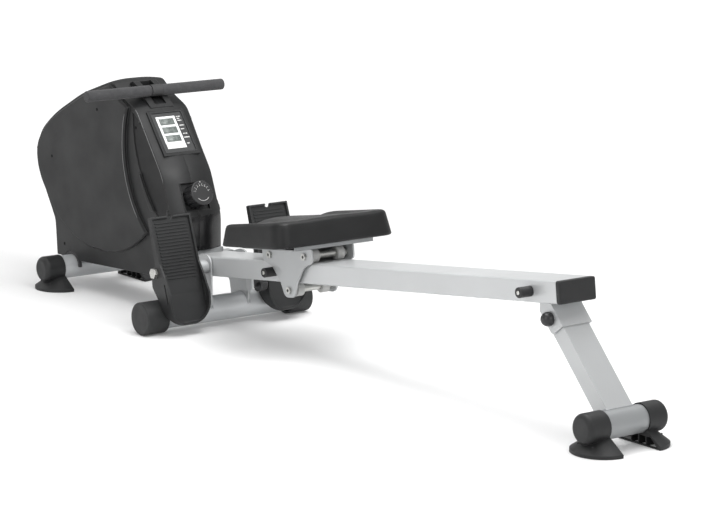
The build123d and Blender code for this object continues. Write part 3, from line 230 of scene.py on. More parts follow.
# ---------------------------------------------------------------- places
# Stations are the part's own, in mm: X rearward from the front stabiliser's
# axis, Z up from the floor. MID is the station of the frame's origin, in m.
MID = 0.9685465
AXIS_Z = 54.0              # axes of the front and rear stabilisers
MID_TUBE = (593.0, 40.0)   # axis of the middle stabiliser, (x, z)
PIVOT = (600.0, 148.5)     # pedal axle, about which the rail folds
TILT = radians(6.9)        # rise of the rail towards the rear
HANDLE = (294.0, 540.0)    # the handle's bar at rest
PULL_RISE = radians(12.0)  # climb of the pull towards the rower
MM = Matrix.Scale(0.001, 4)
RAY_Y = 300                # rays for pieces on the housing's sides start here, mm from the middle


def at_station(x, y, z):
    """Point of the frame, in m, from a station in mm."""
    return Vector((x / 1000 - MID, y / 1000, z / 1000))


def local(x, z, angle):
    """Frame at a station with its X axis raised by an angle from the row's X axis."""
    return Matrix.Translation(at_station(x, 0, z)) @ Matrix.Rotation(-angle, 4, "Y")


RAIL = local(*PIVOT, TILT)
PULL = local(*HANDLE, PULL_RISE)


# ---------------------------------------------------------------- small shapes
def put(bm, name, mat, body, at=None, crease=35.0):
    """New piece from a bmesh, placed by a matrix and riding on a body."""
    me = bpy.data.meshes.new(name)
    bmesh.ops.recalc_face_normals(bm, faces=bm.faces)
    bm.to_mesh(me)
    bm.free()
    if at is not None:
        me.transform(at)
    obj = bpy.data.objects.new(name, me)
    scene.collection.objects.link(obj)
    paint(obj, mat)
    smooth(obj, crease)
    if body:
        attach(obj, body)
    return obj


def join(bm, part, at):
    """Add a bmesh to another one, placed by a matrix."""
    part.transform(at)
    me = bpy.data.meshes.new("joined")
    part.to_mesh(me)
    part.free()
    bm.from_mesh(me)
    bpy.data.meshes.remove(me)


def skin(bm, loops):
    """Walls between loops of vertices, with the first and the last one closed."""
    for a, b in zip(loops, loops[1:]):
        for k in range(len(a)):
            j = (k + 1) % len(a)
            bm.faces.new((a[k], a[j], b[j], b[k]))
    bm.faces.new(list(reversed(loops[0])))
    bm.faces.new(loops[-1])


def corner_arcs(half_x, half_y, r, steps):
    """The four corner arcs of a rounded rectangle, as lists of points."""
    arcs = []
    for x, y, start in ((half_x - r, half_y - r, 0), (r - half_x, half_y - r, 90),
                        (r - half_x, r - half_y, 180), (half_x - r, r - half_y, 270)):
        angles = [radians(start + 90 * k / steps) for k in range(steps + 1)]
        arcs.append([(x + r * cos(a), y + r * sin(a)) for a in angles])
    return arcs


def block(bm, x0, x1, y0, y1, z0, z1, ease):
    """Plate with eased edges, added to a bmesh."""
    made = bmesh.ops.create_cube(bm, size=1.0)["verts"]
    for v in made:
        v.co = Vector(((x0 + x1) / 2 + v.co.x * (x1 - x0), (y0 + y1) / 2 + v.co.y * (y1 - y0),
                       (z0 + z1) / 2 + v.co.z * (z1 - z0)))
    edges = list(dict.fromkeys(e for v in made for e in v.link_edges))
    bmesh.ops.bevel(bm, geom=edges, offset=ease, segments=2, affect="EDGES", profile=0.5)


def tube(bm, points, radius, sides=10, lumps=0.0):
    """Round bead along points, with rounded ends; lumps makes it uneven as a weld is."""
    points = [Vector(p) for p in points]
    last = len(points) - 1
    loops = []
    across = None
    for i, p in enumerate(points):
        way = (points[min(i + 1, last)] - points[max(i - 1, 0)]).normalized()
        across = (way.orthogonal() if across is None else across - way * across.dot(way)).normalized()
        up = way.cross(across)
        from_end = min(i, last - i)
        r = radius * (1.0 if from_end > 1 else (0.35, 0.8)[from_end])
        r *= 1 + lumps * sin(i * 2.4) * 0.6 + lumps * sin(i * 1.1 + 0.7) * 0.4
        angles = [2 * pi * k / sides for k in range(sides)]
        loops.append([bm.verts.new(p + (across * cos(a) + up * sin(a)) * r) for a in angles])
    skin(bm, loops)


def disc(bm, at, radius, z0, z1, ease, sides=28):
    """Round plate along the local Z of a matrix, with an eased upper edge."""
    rings = [(radius, z0), (radius, z1 - ease), (radius - ease * 0.3, z1 - ease * 0.3), (radius - ease, z1)]
    angles = [2 * pi * k / sides for k in range(sides)]
    skin(bm, [[bm.verts.new(at @ Vector((r * cos(a), r * sin(a), z))) for a in angles] for r, z in rings])


# ---------------------------------------------------------------- seat
# In m and in the rail's frame: u along the rail from the cushion's middle, v across.
SEAT_U = 0.3545             # the cushion's middle, from the rail's pivot
SEAT_LOW = 0.0702           # its underside, above the rail's middle
SEAT_HALF_U, SEAT_HALF_V = 0.127, 0.170
SEAT_CORNER = 0.034
SEAT_FRONT = 0.0515         # thickness at the front edge
SEAT_GAIN = 0.0110          # how much thicker the rear edge is
CHANNEL_V = 0.092           # leg channels, from the middle
CHANNEL_SPREAD = 0.041
CHANNEL_DEEP = 0.0132
# side wall: share of the height, inset; the top lies inside the last inset
SEAT_WALL = [(0.0, 0.0045), (0.02, 0.0018), (0.06, 0.0008), (0.12, 0.0012), (0.35, 0.0036),
             (0.65, 0.0068), (0.84, 0.0090), (0.91, 0.0106), (0.95, 0.0130), (0.98, 0.0166),
             (0.995, 0.0215), (1.0, 0.0280)]


def seat_outline(inset, steps=30):
    """Rounded rectangle inset from the base outline; its corners get a little tighter."""
    corner = max(SEAT_CORNER - inset * 0.4, 0.012)
    arcs = corner_arcs(SEAT_HALF_U - inset, SEAT_HALF_V - inset, corner, steps=9)
    points = []
    for arc, onward in zip(arcs, arcs[1:] + arcs[:1]):
        (u0, v0), (u1, v1) = arc[-1], onward[0]
        points += arc
        points += [(u0 + (u1 - u0) * k / steps, v0 + (v1 - v0) * k / steps) for k in range(1, steps)]
    return points


def seat_top(u, v):
    """Height of the top, with two channels that fade out towards the rear."""
    back = max(0.0, min(1.0, 0.5 + u / (2 * SEAT_HALF_U)))
    channel = CHANNEL_DEEP * (1 - back) ** 0.85 * exp(-((abs(v) - CHANNEL_V) / CHANNEL_SPREAD) ** 2)
    return SEAT_LOW + SEAT_FRONT + SEAT_GAIN * back - channel


def seat(rings=30, crest=0.0004):
    """Moulded seat: draughted sides, a raised middle between two leg channels
    and a soft rolled edge. The crest keeps the top just above its rim."""
    bm = bmesh.new()
    loops = []
    for share, inset in SEAT_WALL:
        loops.append([bm.verts.new((u, v, SEAT_LOW + (seat_top(u, v) - SEAT_LOW) * share))
                      for u, v in seat_outline(inset)])
    for k in range(1, rings):
        f = 1 - k / rings
        lift = crest * min(1, k / 3)
        loops.append([bm.verts.new((u * f, v * f, seat_top(u * f, v * f) + lift))
                      for u, v in seat_outline(SEAT_WALL[-1][1])])
    skin(bm, loops)
    at = RAIL @ Matrix.Translation((SEAT_U, 0, 0))
    pad = put(bm, "seat_cushion", "seat_cover", "carriage", at, crease=60)
    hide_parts("seat_pad")


seat()

# ---------------------------------------------------------------- housing
# side outline as the solids have it, (x, z, radius), and the same run with softer corners
SOLID = [(-68, 40, 20), (-77, 164, 30), (-124, 232, 40), (-175, 354, 60), (-70, 443, 95), (72, 514, 110),
         (211, 560, 32), (262, 524, 40), (322, 499, 60), (432, 350, 160), (474, 245, 90), (472, 40, 20)]
SOFT = [(-68, 40, 20), (-77.5, 166, 60), (-121, 232, 70), (-189, 357, 100), (-71.6, 445.4, 500),
        (71.6, 515.2, 500)] + SOLID[6:]
EASED_MIDDLE = Vector((60.0, 320.0))  # the softer corners move away from this station, or towards it
EASED_FRONT = 0.30 - MID              # the mesh is refined ahead of this x
EASED_LOW = 0.1                       # nothing moves below this height
# hollow behind the raised panel: its front line and its rear line
HOLLOW_FRONT = [(303, 494), (306, 447), (315, 397), (335, 348), (364, 300), (393, 264), (424, 234)]
HOLLOW_REAR = [(445, 234), (461, 265), (456, 302), (437, 342), (405, 392), (363, 446), (330, 478)]
SIDE_Y = 74.0                         # flat side of a shell
HOLLOW_Y = SIDE_Y - 2.3               # bottom of the hollow
TOOL_Y = 80.0                         # outer end of the tool that cuts it
# the glossy lower rear face, a little darker than the rest as painted shade of its recess: its top, and what
# it lies behind
GLOSS_AND_SHADE_TOP, GLOSS_AND_SHADE_BEHIND = 0.2500, 0.470 - MID


def rounded_line(corners, step):
    """Points along a closed line whose corners (x, z, radius) are rounded."""
    out = []
    for i, (x, z, r) in enumerate(corners):
        before, after = corners[i - 1], corners[(i + 1) % len(corners)]
        a, b, c = Vector(before[:2]), Vector((x, z)), Vector(after[:2])
        d1, d2 = (b - a).normalized(), (c - b).normalized()
        turn = abs(d1.angle_signed(d2))
        hand = 1 if d1.x * d2.y - d1.y * d2.x > 0 else -1
        start = b - d1 * r * abs(sin(turn / 2) / cos(turn / 2))
        centre = start + Vector((-d1.y, d1.x)) * hand * r
        arm = start - centre
        steps = max(2, int(turn * r / step) + 1)
        for k in range(steps + 1):
            f = turn * hand * k / steps
            out.append(centre + Vector((arm.x * cos(f) - arm.y * sin(f), arm.x * sin(f) + arm.y * cos(f))))
    return out


def radius_at(line, centre, angle):
    """Distance from a centre to a closed line in one direction."""
    way = Vector((cos(angle), sin(angle)))
    best = None
    for p, q in zip(line, line[1:] + line[:1]):
        u, v = p - centre, q - p
        den = way.x * v.y - way.y * v.x
        if abs(den) < 1e-12:
            continue
        t = (u.x * v.y - u.y * v.x) / den
        w = (u.x * way.y - u.y * way.x) / den
        if t > 0 and -1e-9 <= w <= 1 + 1e-9 and (best is None or t > best):
            best = t
    return best


def smoothstep(a, b, x):
    """From 0 at a to 1 at b, with a soft start and end."""
    t = max(0.0, min(1.0, (x - a) / (b - a)))
    return t * t * (3 - 2 * t)


def curve_through(points, steps=8):
    """Smooth run through points (Catmull-Rom)."""
    out = []
    last = len(points) - 1
    for i in range(last):
        p0, p1, p2, p3 = [Vector(points[min(max(i + k, 0), last)]) for k in (-1, 0, 1, 2)]
        for k in range(steps):
            t = k / steps
            out.append(0.5 * (2 * p1 + (p2 - p0) * t + (2 * p0 - 5 * p1 + 4 * p2 - p3) * t * t
                              + (3 * p1 - p0 - 3 * p2 + p3) * t ** 3))
    out.append(Vector(points[-1]))
    return out


def with_hollow(obj, side):
    """Mesh of a shell with the hollow behind its raised panel cut into the side."""
    bm = bmesh.new()
    lower, upper = [], []
    for p in curve_through(HOLLOW_FRONT) + curve_through(HOLLOW_REAR):
        lower.append(bm.verts.new(at_station(p.x, side * HOLLOW_Y, p.y)))
        upper.append(bm.verts.new(at_station(p.x, side * TOOL_Y, p.y)))
    skin(bm, [lower, upper])
    bmesh.ops.recalc_face_normals(bm, faces=bm.faces)
    tool_mesh = bpy.data.meshes.new(obj.name + "_tool")
    bm.to_mesh(tool_mesh)
    bm.free()
    tool = bpy.data.objects.new(obj.name + "_tool", tool_mesh)
    scene.collection.objects.link(tool)
    mod = obj.modifiers.new("hollow", "BOOLEAN")
    mod.operation = "DIFFERENCE"
    mod.solver = "EXACT"
    mod.object = tool
    bpy.context.view_layer.update()
    done = bpy.data.meshes.new_from_object(obj.evaluated_get(bpy.context.evaluated_depsgraph_get()))
    obj.modifiers.clear()
    bpy.data.objects.remove(tool)
    bpy.data.meshes.remove(tool_mesh)
    return done


def refine(bm):
    """Shorter edges at a shell's front, so that its corners can be eased."""
    bmesh.ops.triangulate(bm, faces=bm.faces)
    for limit in (0.120, 0.060, 0.030, 0.018):  # m, coarse to fine
        for _ in range(3):
            far = [e for e in bm.edges
                   if e.calc_length() > limit and min(v.co.x for v in e.verts) < EASED_FRONT]
            if not far:
                break
            bmesh.ops.subdivide_edges(bm, edges=far, cuts=1)
            bmesh.ops.triangulate(bm, faces=[f for f in bm.faces if len(f.verts) > 3])


def ease_corners(bm, samples=720, step=4.0):
    """Move a shell's outer rim from the solid outline to the softer one."""
    solid, soft = rounded_line(SOLID, step), rounded_line(SOFT, step)
    table = []
    for k in range(samples):
        a = 2 * pi * k / samples
        r0, r1 = radius_at(solid, EASED_MIDDLE, a), radius_at(soft, EASED_MIDDLE, a)
        table.append((r0, r1 - r0))
    for v in bm.verts:
        x, z = (v.co.x + MID) * 1000 - EASED_MIDDLE.x, v.co.z * 1000 - EASED_MIDDLE.y
        r = (x * x + z * z) ** 0.5
        if r < 1.0 or v.co.z < EASED_LOW:
            continue
        f = atan2(z, x) % (2 * pi) / (2 * pi) * samples
        (r0, move0), (r1, move1) = table[int(f) % samples], table[(int(f) + 1) % samples]
        g = f - int(f)
        edge, move = r0 * (1 - g) + r1 * g, move0 * (1 - g) + move1 * g
        move *= smoothstep(0.70, 0.97, r / edge)
        v.co.x += move * x / r / 1000
        v.co.z += move * z / r / 1000


def housing(name, node, side):
    """One shell half with softer nose and crown corners, and the hollow
    behind its raised panel sunk into the side."""
    me = nodes[node].data.copy()
    obj = bpy.data.objects.new(name, me)
    scene.collection.objects.link(obj)
    bm = bmesh.new()
    bm.from_mesh(me)
    bmesh.ops.remove_doubles(bm, verts=bm.verts, dist=1e-6)
    bm.to_mesh(me)
    bm.free()
    done = with_hollow(obj, side)
    bm = bmesh.new()
    bm.from_mesh(done)
    refine(bm)
    ease_corners(bm)
    bm.to_mesh(done)
    bm.free()
    obj.data = done
    done.materials.clear()
    for look in ("housing_black", "housing_gloss_painted_shade", "housing_hollow_painted_shade"):
        done.materials.append(MAT[look])
    for p in done.polygons:
        c, n, y = p.center, p.normal, abs(p.center.y) * 1000
        # the glossy lower rear face, darker in part as painted shade
        if n.x > 0.75 and c.z < GLOSS_AND_SHADE_TOP and c.x > GLOSS_AND_SHADE_BEHIND and y < SIDE_Y - 0.2:
            p.material_index = 1
        # the hollow's bottom gets the darker look: painted shade of the recess
        elif side * n.y > 0.9 and abs(y - HOLLOW_Y) < 0.2:
            p.material_index = 2
    smooth(obj, 28)
    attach(obj, "frame")
    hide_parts(node)
    return obj


SHELLS = {"housing_left": housing("shell_left", "housing_left", -1),
          "housing_right": housing("shell_right", "housing_right", 1)}


def hit(node, start, way):
    """Where a ray meets a node, or the shell that replaces it, and the normal there."""
    found, place, normal, _ = SHELLS.get(node, nodes[node]).ray_cast(Vector(start), Vector(way).normalized())
    if not found:
        raise SystemExit("ray missed " + node)
    return place, normal


def on_run(x, z, fall, down):
    """Frame in mm on the housing, down a run that starts at a station and falls by an angle."""
    return local(x + down * cos(radians(fall)), z - down * sin(radians(fall)), -radians(fall)) @ MM


# middles of the console and of the knob; each run starts at a corner of the housing's crest
CONSOLE = on_run(x=326.097, z=504.226, fall=50.896, down=77.0)
KNOB = on_run(x=445.388, z=357.458, fall=66.653, down=66.0)

# ---------------------------------------------------------------- console
# In mm: x runs down the console and y across it, both from its middle.
LCD_Y = -6.0                          # middle of the display
WINDOW_FIRST, WINDOW_PITCH = -40.5, 24.3
WINDOW_LEN, WINDOW_HALF = 18.8, 21.5
READINGS = ("0 12", " 20 5", "  3 8")
DIGIT_FIRST, DIGIT_PITCH = -14.5, 7.0   # across, from the middle of the display
DIGIT_DOWN = 4.4                      # below its window's top edge
DIGIT_HIGH, DIGIT_WIDE = 10.0, 5.2
BAR_HALF = 0.5                        # half the thickness of a digit's bars
DIGIT_Z = 0.24
# bars that are lit in each digit, a to g as on a seven-bar display
SEGMENTS = {"0": "abcdef", "1": "bc", "2": "abged", "3": "abgcd", "5": "afgcd", "8": "abcdefg"}
# plain marks beside the windows: x, y where it starts, length
MARKS = ((-43.0, 25.5, 4.64), (-43.0, 30.5, 7.25), (-37.5, 25.5, 6.67), (-37.0, 31.5, 2.175),
         (-31.5, 26.0, 9.425), (-31.5, 34.0, 3.48), (-17.5, 25.5, 13.775), (-7.0, 25.5, 7.54),
         (-7.0, 32.0, 3.48), (6.5, 26.0, 5.22), (6.5, 33.0, 6.09), (17.5, 25.0, 4.93),
         (17.5, 30.0, 11.6), (35.0, 27.0, 7.83))
MARK_HALF = 1.5
LIP_X, LIP_Y, LIP_CORNER = 58.2, 45.2, 4.0
LIP_Z, LIP_R = 1.2, 1.5


def digit(bm, char, x, y):
    """Seven-bar digit with its upper left corner at (x, y)."""
    low, middle, right = DIGIT_HIGH, DIGIT_HIGH / 2, DIGIT_WIDE
    spans = {"a": (0, 0, 0, right), "g": (middle, middle, 0, right), "d": (low, low, 0, right),
             "f": (0, middle, 0, 0), "e": (middle, low, 0, 0),
             "b": (0, middle, right, right), "c": (middle, low, right, right)}
    for key in SEGMENTS[char]:
        x0, x1, y0, y1 = spans[key]
        block(bm, x + x0 - BAR_HALF, x + x1 + BAR_HALF, y + y0 - BAR_HALF, y + y1 + BAR_HALF,
              z0=DIGIT_Z - 0.10, z1=DIGIT_Z + 0.07, ease=0.03)


def console():
    """Display windows with digits, marks beside them and a rolled lip around the bezel."""
    windows = bmesh.new()
    digits = bmesh.new()
    for k, text in enumerate(READINGS):
        x0 = WINDOW_FIRST + WINDOW_PITCH * k
        block(windows, x0, x0 + WINDOW_LEN, LCD_Y - WINDOW_HALF, LCD_Y + WINDOW_HALF,
              z0=-0.15, z1=0.20, ease=0.15)
        for i, char in enumerate(text):
            if char in SEGMENTS:
                digit(digits, char, x0 + DIGIT_DOWN, LCD_Y + DIGIT_FIRST + DIGIT_PITCH * i)
    put(windows, "display_windows", "lcd", "frame", CONSOLE)
    put(digits, "display_digits", "segment", "frame", CONSOLE)
    marks = bmesh.new()
    for x, y, long in MARKS:
        block(marks, x - MARK_HALF, x + MARK_HALF, y, y + long, z0=-0.1, z1=0.12, ease=0.08)
    put(marks, "display_marks", "ink", "frame", CONSOLE)
    lip = bmesh.new()
    loop = [(x, y, LIP_Z) for arc in corner_arcs(LIP_X, LIP_Y, LIP_CORNER, steps=6) for x, y in arc]
    tube(lip, loop + loop[:1], LIP_R)
    put(lip, "console_lip", "console_plastic", "frame", CONSOLE, crease=60)


console()

# ---------------------------------------------------------------- knob dial
# In mm, from the knob's axis; local -X points up the housing.
KNOB_TOP = 34.3
DIAL_FIRST, DIAL_STEP = 255.0, 21.5   # angle of the first number, and between two
NUMBER_R, SWEEP_R = 19.0, 20.0
TICK_INNER, TICK_OUTER, TICK_HALF = 22.3, 24.6, 0.45
NUMBER_SIZE, NUMBER_RAISED = 5.6, 0.08
SWEEP_END = 52                        # degrees either side of +X
DOT_AT, DOT_R = -27.6, 1.5


def number(bm, k, angle):
    """The number k, raised, reading upright on the knob."""
    text = bpy.data.curves.new("number", "FONT")
    text.body = str(k)
    text.size = NUMBER_SIZE
    text.extrude = NUMBER_RAISED
    text.align_x = "CENTER"
    text.align_y = "CENTER"
    obj = bpy.data.objects.new("number", text)
    scene.collection.objects.link(obj)
    bpy.context.view_layer.update()
    shape = bpy.data.meshes.new_from_object(obj.evaluated_get(bpy.context.evaluated_depsgraph_get()))
    bpy.data.objects.remove(obj)
    place = Matrix.Translation((NUMBER_R * cos(angle), NUMBER_R * sin(angle), KNOB_TOP + 0.02))
    shape.transform(place @ Matrix.Rotation(pi / 2, 4, "Z"))
    bm.from_mesh(shape)
    bpy.data.meshes.remove(shape)


def dial():
    """Numbers, ticks and a sweep line on the knob's face, with a pointer dot."""
    bm = bmesh.new()
    z0, z1, ease = KNOB_TOP - 0.1, KNOB_TOP + 0.10, 0.08
    for k in range(8):
        a = radians(DIAL_FIRST - DIAL_STEP * k)
        tick = bmesh.new()
        block(tick, TICK_INNER, TICK_OUTER, -TICK_HALF, TICK_HALF, z0, z1, ease)
        join(bm, tick, Matrix.Rotation(a, 4, "Z"))
        number(bm, k + 1, a)
    angles = [radians(a) for a in range(-SWEEP_END, SWEEP_END + 1, 4)]
    tube(bm, [(SWEEP_R * cos(a), SWEEP_R * sin(a), KNOB_TOP) for a in angles], radius=0.55, sides=8)
    disc(bm, Matrix.Translation((DOT_AT, 0, 0)), DOT_R, z0, z1, ease, sides=16)
    put(bm, "knob_dial", "ink", "knob", KNOB, crease=40)


dial()

# ---------------------------------------------------------------- screws
SCREWS = [(152.0, 482.0), (-149.0, 347.0), (-74.0, 333.0), (-34.0, 107.0), (315.0, 454.0)]  # (x, z)
SCREW_R = 0.0040


def screw(bm, at):
    """Screw head: a low round plate with a cross on it."""
    disc(bm, at, SCREW_R, z0=-0.0012, z1=0.0003, ease=0.0002)
    for turn in (0.4, 0.4 + pi / 2):
        arm = bmesh.new()
        block(arm, -SCREW_R * 0.6, SCREW_R * 0.6, -SCREW_R * 0.13, SCREW_R * 0.13,
              z0=0.0001, z1=0.0005, ease=0.00006)
        join(bm, arm, at @ Matrix.Rotation(turn, 4, "Z"))


def screws():
    """Screw heads on both sides of the housing, square to its surface."""
    bm = bmesh.new()
    for x, z in SCREWS:
        for side, node in ((-1, "housing_left"), (1, "housing_right")):
            place, normal = hit(node, at_station(x, side * RAY_Y, z), (0, -side, 0))
            screw(bm, Matrix.Translation(place) @ normal.to_track_quat("Z", "Y").to_matrix().to_4x4())
    put(bm, "housing_screws", "screw", "frame", crease=30)


screws()

# ---------------------------------------------------------------- seals at the front stabiliser
SEAL_INNER, SEAL_OUTER = 30.4, 38.7   # radii around the tube
SEAL_Y0, SEAL_Y1 = 66.0, 73.4
SEAL_EASE = 0.8


def tube_seals(steps=30):
    """Foam seals between the housing's notches and the front stabiliser."""
    section = ((SEAL_INNER, SEAL_Y0), (SEAL_OUTER, SEAL_Y0), (SEAL_OUTER, SEAL_Y1 - SEAL_EASE),
               (SEAL_OUTER - SEAL_EASE, SEAL_Y1), (SEAL_INNER + SEAL_EASE, SEAL_Y1),
               (SEAL_INNER, SEAL_Y1 - SEAL_EASE))
    bm = bmesh.new()
    for side in (-1, 1):
        angles = [radians(2 + 176 * k / steps) for k in range(steps + 1)]
        skin(bm, [[bm.verts.new(at_station(r * cos(a), side * y, AXIS_Z + r * sin(a))) for r, y in section]
                  for a in angles])
    put(bm, "tube_seals", "foam", "frame", crease=50)


tube_seals()

# ---------------------------------------------------------------- welds
LEG_PIVOT = RAIL @ Vector((1.264, 0, -0.057))
LEG_SPREAD = 0.1793                   # foot of the leg behind its pivot
LEG_HALF_Y, LEG_HALF_Q = 0.0352, 0.0192   # half width and half depth of the leg at the bead
LEG_START = 0.12                      # the rays start this far down the leg
PLATE_WELD_R = 32.2                   # around the middle stabiliser
PLATE_FACES = (57.2, 51.8)            # outer and inner bead of a hinge plate
LUMPS = 0.22                          # unevenness of a bead


def leg_weld():
    """Bead around the leg where it stands on the rear stabiliser."""
    axis = Vector((LEG_PIVOT.x + LEG_SPREAD, 0, AXIS_Z / 1000))
    way = (axis - LEG_PIVOT).normalized()
    across = Vector((0, 1, 0)).cross(way).normalized()
    corners = [(-LEG_HALF_Y, LEG_HALF_Q), (LEG_HALF_Y, LEG_HALF_Q), (LEG_HALF_Y, -LEG_HALF_Q),
               (-LEG_HALF_Y, -LEG_HALF_Q)]
    bead = []
    for (y0, q0), (y1, q1), steps in zip(corners, corners[1:] + corners[:1], (22, 12, 22, 12)):
        for k in range(steps):
            y, q = y0 + (y1 - y0) * k / steps, q0 + (q1 - q0) * k / steps
            start = LEG_PIVOT + way * LEG_START + across * q + Vector((0, y, 0))
            bead.append(hit("rear_stabilizer", start, way)[0] - way * 0.0006)
    bm = bmesh.new()
    tube(bm, bead, radius=0.0021, sides=8, lumps=LUMPS)
    put(bm, "leg_weld", "weld", "leg", crease=60)


def plate_welds():
    """Beads of the hinge plates on the middle stabiliser."""
    bm = bmesh.new()
    x, z = MID_TUBE
    angles = [radians(a) for a in range(8, 173, 5)]
    for side in (-1, 1):
        for y in PLATE_FACES:
            bead = [at_station(x - PLATE_WELD_R * cos(a), side * y, z + PLATE_WELD_R * sin(a))
                    for a in angles]
            tube(bm, bead, radius=0.0019, sides=8, lumps=LUMPS)
    put(bm, "plate_welds", "weld", "frame", crease=60)


leg_weld()
plate_welds()


# ---------------------------------------------------------------- bolts
def solid_boxes(mesh):
    """Low and high corner of each separate solid in a mesh."""
    bm = bmesh.new()
    bm.from_mesh(mesh)
    bmesh.ops.remove_doubles(bm, verts=bm.verts, dist=1e-6)
    seen = set()
    boxes = []
    for first in bm.verts:
        if first in seen:
            continue
        seen.add(first)
        waiting, points = [first], []
        while waiting:
            v = waiting.pop()
            points.append(v.co.copy())
            near = [w for w in (e.other_vert(v) for e in v.link_edges) if w not in seen]
            seen.update(near)
            waiting.extend(near)
        boxes.append([Vector(pick(p[k] for p in points) for k in range(3)) for pick in (min, max)])
    bm.free()
    return boxes


def bolts(name, node, mat, body, radius, z0, z1, ease):
    """Hexagons on the outer ends of a node's solids, z0 to z1 out from each end."""
    bm = bmesh.new()
    for low, high in solid_boxes(nodes[node].data):
        for side, y in ((-1, low.y), (1, high.y)):
            if side * y > 0:
                at = Matrix.Translation(((low.x + high.x) / 2, y, (low.z + high.z) / 2))
                disc(bm, at @ Matrix.Rotation(-side * pi / 2, 4, "X"), radius, z0, z1, ease, sides=6)
    put(bm, name, mat, body, crease=30)


# near-black hexagons on the axle ends: painted shade inside their sockets
bolts("axle_socket_painted_shade", "carriage_axles", "seam_and_socket_shade", "carriage",
      radius=0.0040, z0=-0.0003, z1=0.00006, ease=0.00003)
bolts("stop_bolts", "rail_stops", "zinc", "rail", radius=0.0050, z0=-0.0006, z1=0.0009, ease=0.0003)

# ---------------------------------------------------------------- lines on the housing
# the joint's two straight runs on the rear face, above and below the knob's pocket
JOINT_RUNS = (((412.0, 399.0), (451.0, 346.0)), ((488.5, 257.0), (492.0, 249.0)))
JOINT_Y = -1.2                        # where the rays for it meet the left shell
JOINT_AWAY = 0.08                     # how far off the face they start, m
# the raised panel's rear edge is an arc
PANEL_MIDDLE, PANEL_R = (540, 408), 270.3
PANEL_ANGLES = range(17, -43, -2)
# the rear rim's part of the outline: behind an x, above a z and below the line z = x + 186
RIM_BEHIND, RIM_ABOVE, RIM_BELOW = 316, 262, 186
RIM_MIDDLE = Vector((200.0, 320.0))   # the rays for it point towards this station
RIM_AWAY, RIM_RAY_Y = 20, 94          # and start this far outside the outline and from the middle
BEAD_R = 0.0007


def parting_line(steps=24):
    """Joint between the housing's halves on the rear face, found by rays from ahead of it."""
    bm = bmesh.new()
    for (x0, z0), (x1, z1) in JOINT_RUNS:
        way = Vector((z1 - z0, 0, x0 - x1)).normalized()
        points = []
        for k in range(steps + 1):
            f = k / steps
            x, y, z = at_station(x0 + (x1 - x0) * f, JOINT_Y, z0 + (z1 - z0) * f)
            place, _ = hit("housing_left", (x - way.x * JOINT_AWAY, y, z - way.z * JOINT_AWAY), way)
            points.append((place.x, 0.0, place.z))
        tube(bm, points, radius=0.0006, sides=6)
    put(bm, "parting_line", "seam_and_socket_shade", "frame", crease=60)


def edge_beads():
    """Fine raised beads along the panel's rear edge and along the rear rim, pale grey as a painted highlight
    on these edges.
    """
    rim = [p for p in rounded_line(SOLID, 6.0)
           if p.x > RIM_BEHIND and p.y > RIM_ABOVE and p.y < p.x + RIM_BELOW]
    x, z = PANEL_MIDDLE
    edge = [(x - PANEL_R * cos(radians(a)), z + PANEL_R * sin(radians(a))) for a in PANEL_ANGLES]
    bm = bmesh.new()
    for side, node in ((-1, "housing_left"), (1, "housing_right")):
        points = []
        for p in rim:
            n = (p - RIM_MIDDLE).normalized()
            out = p + RIM_AWAY * n
            points.append(hit(node, at_station(out.x, side * RIM_RAY_Y, out.y), (-n.x, -side, -n.y))[0])
        tube(bm, points, BEAD_R, sides=8)
        points = [hit(node, at_station(x, side * RAY_Y, z), (0, -side, 0))[0] for x, z in edge]
        tube(bm, points, BEAD_R, sides=8)
    put(bm, "edge_beads", "edge_painted_highlight", "frame", crease=60)


parting_line()
edge_beads()

# ---------------------------------------------------------------- strap
# In m, along the pull from the handle's bar: from the guide roller to the clip.
STRAP_START, STRAP_END = -0.0620, -0.0181
STRAP_HALF_W, STRAP_HALF_T = 0.0122, 0.0007
STRAP_EDGE = 0.0003                   # how far the woven edge bulges


def strap(rows=40):
    """Webbing along the pull, from the guide roller to the handle's clip."""
    bm = bmesh.new()
    w, t, edge = STRAP_HALF_W, STRAP_HALF_T, STRAP_HALF_W + STRAP_EDGE
    section = [(-w, -t), (w, -t), (edge, 0), (w, t), (-w, t), (-edge, 0)]
    stations = [STRAP_START + (STRAP_END - STRAP_START) * k / rows for k in range(rows + 1)]
    skin(bm, [[bm.verts.new((x, y, z)) for y, z in section] for x in stations])
    piece = put(bm, "pull_strap", "webbing", None, PULL, crease=60)
    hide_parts("strap")
    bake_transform(piece)


strap()

# ---------------------------------------------------------------- camera
# Solved from the photograph: floor contacts, edges of the rail and ends of the tubes.
EYE = Vector((6.2468535, -3.8214792, 1.5280518))   # station, in m
RIGHT = (0.5966018, 0.8025314, 0.0030897)
UP = (-0.1612314, 0.1160863, 0.9800655)
BACK = (0.7861747, -0.5852071, 0.1986506)
cam = bpy.data.cameras.new("camera")
cam.sensor_fit = "HORIZONTAL"
cam.sensor_width = 36.0
cam.lens = 146.291
cam.clip_start, cam.clip_end = 0.1, 100
eye = bpy.data.objects.new("camera", cam)
turned = Matrix((RIGHT, UP, BACK)).transposed().to_4x4()
eye.matrix_world = Matrix.Translation(EYE - Vector((MID, 0, 0))) @ turned
scene.collection.objects.link(eye)
scene.camera = eye


# ---------------------------------------------------------------- stage
def panel(name, size, place, aim, power):
    """Rectangular lamp at a place, aimed at a point."""
    light = bpy.data.lights.new(name, "AREA")
    light.shape = "RECTANGLE"
    light.size, light.size_y = size
    light.energy = power
    obj = bpy.data.objects.new(name, light)
    obj.location = place
    obj.rotation_euler = (Vector(aim) - Vector(place)).to_track_quat("-Z", "Y").to_euler()
    scene.collection.objects.link(obj)


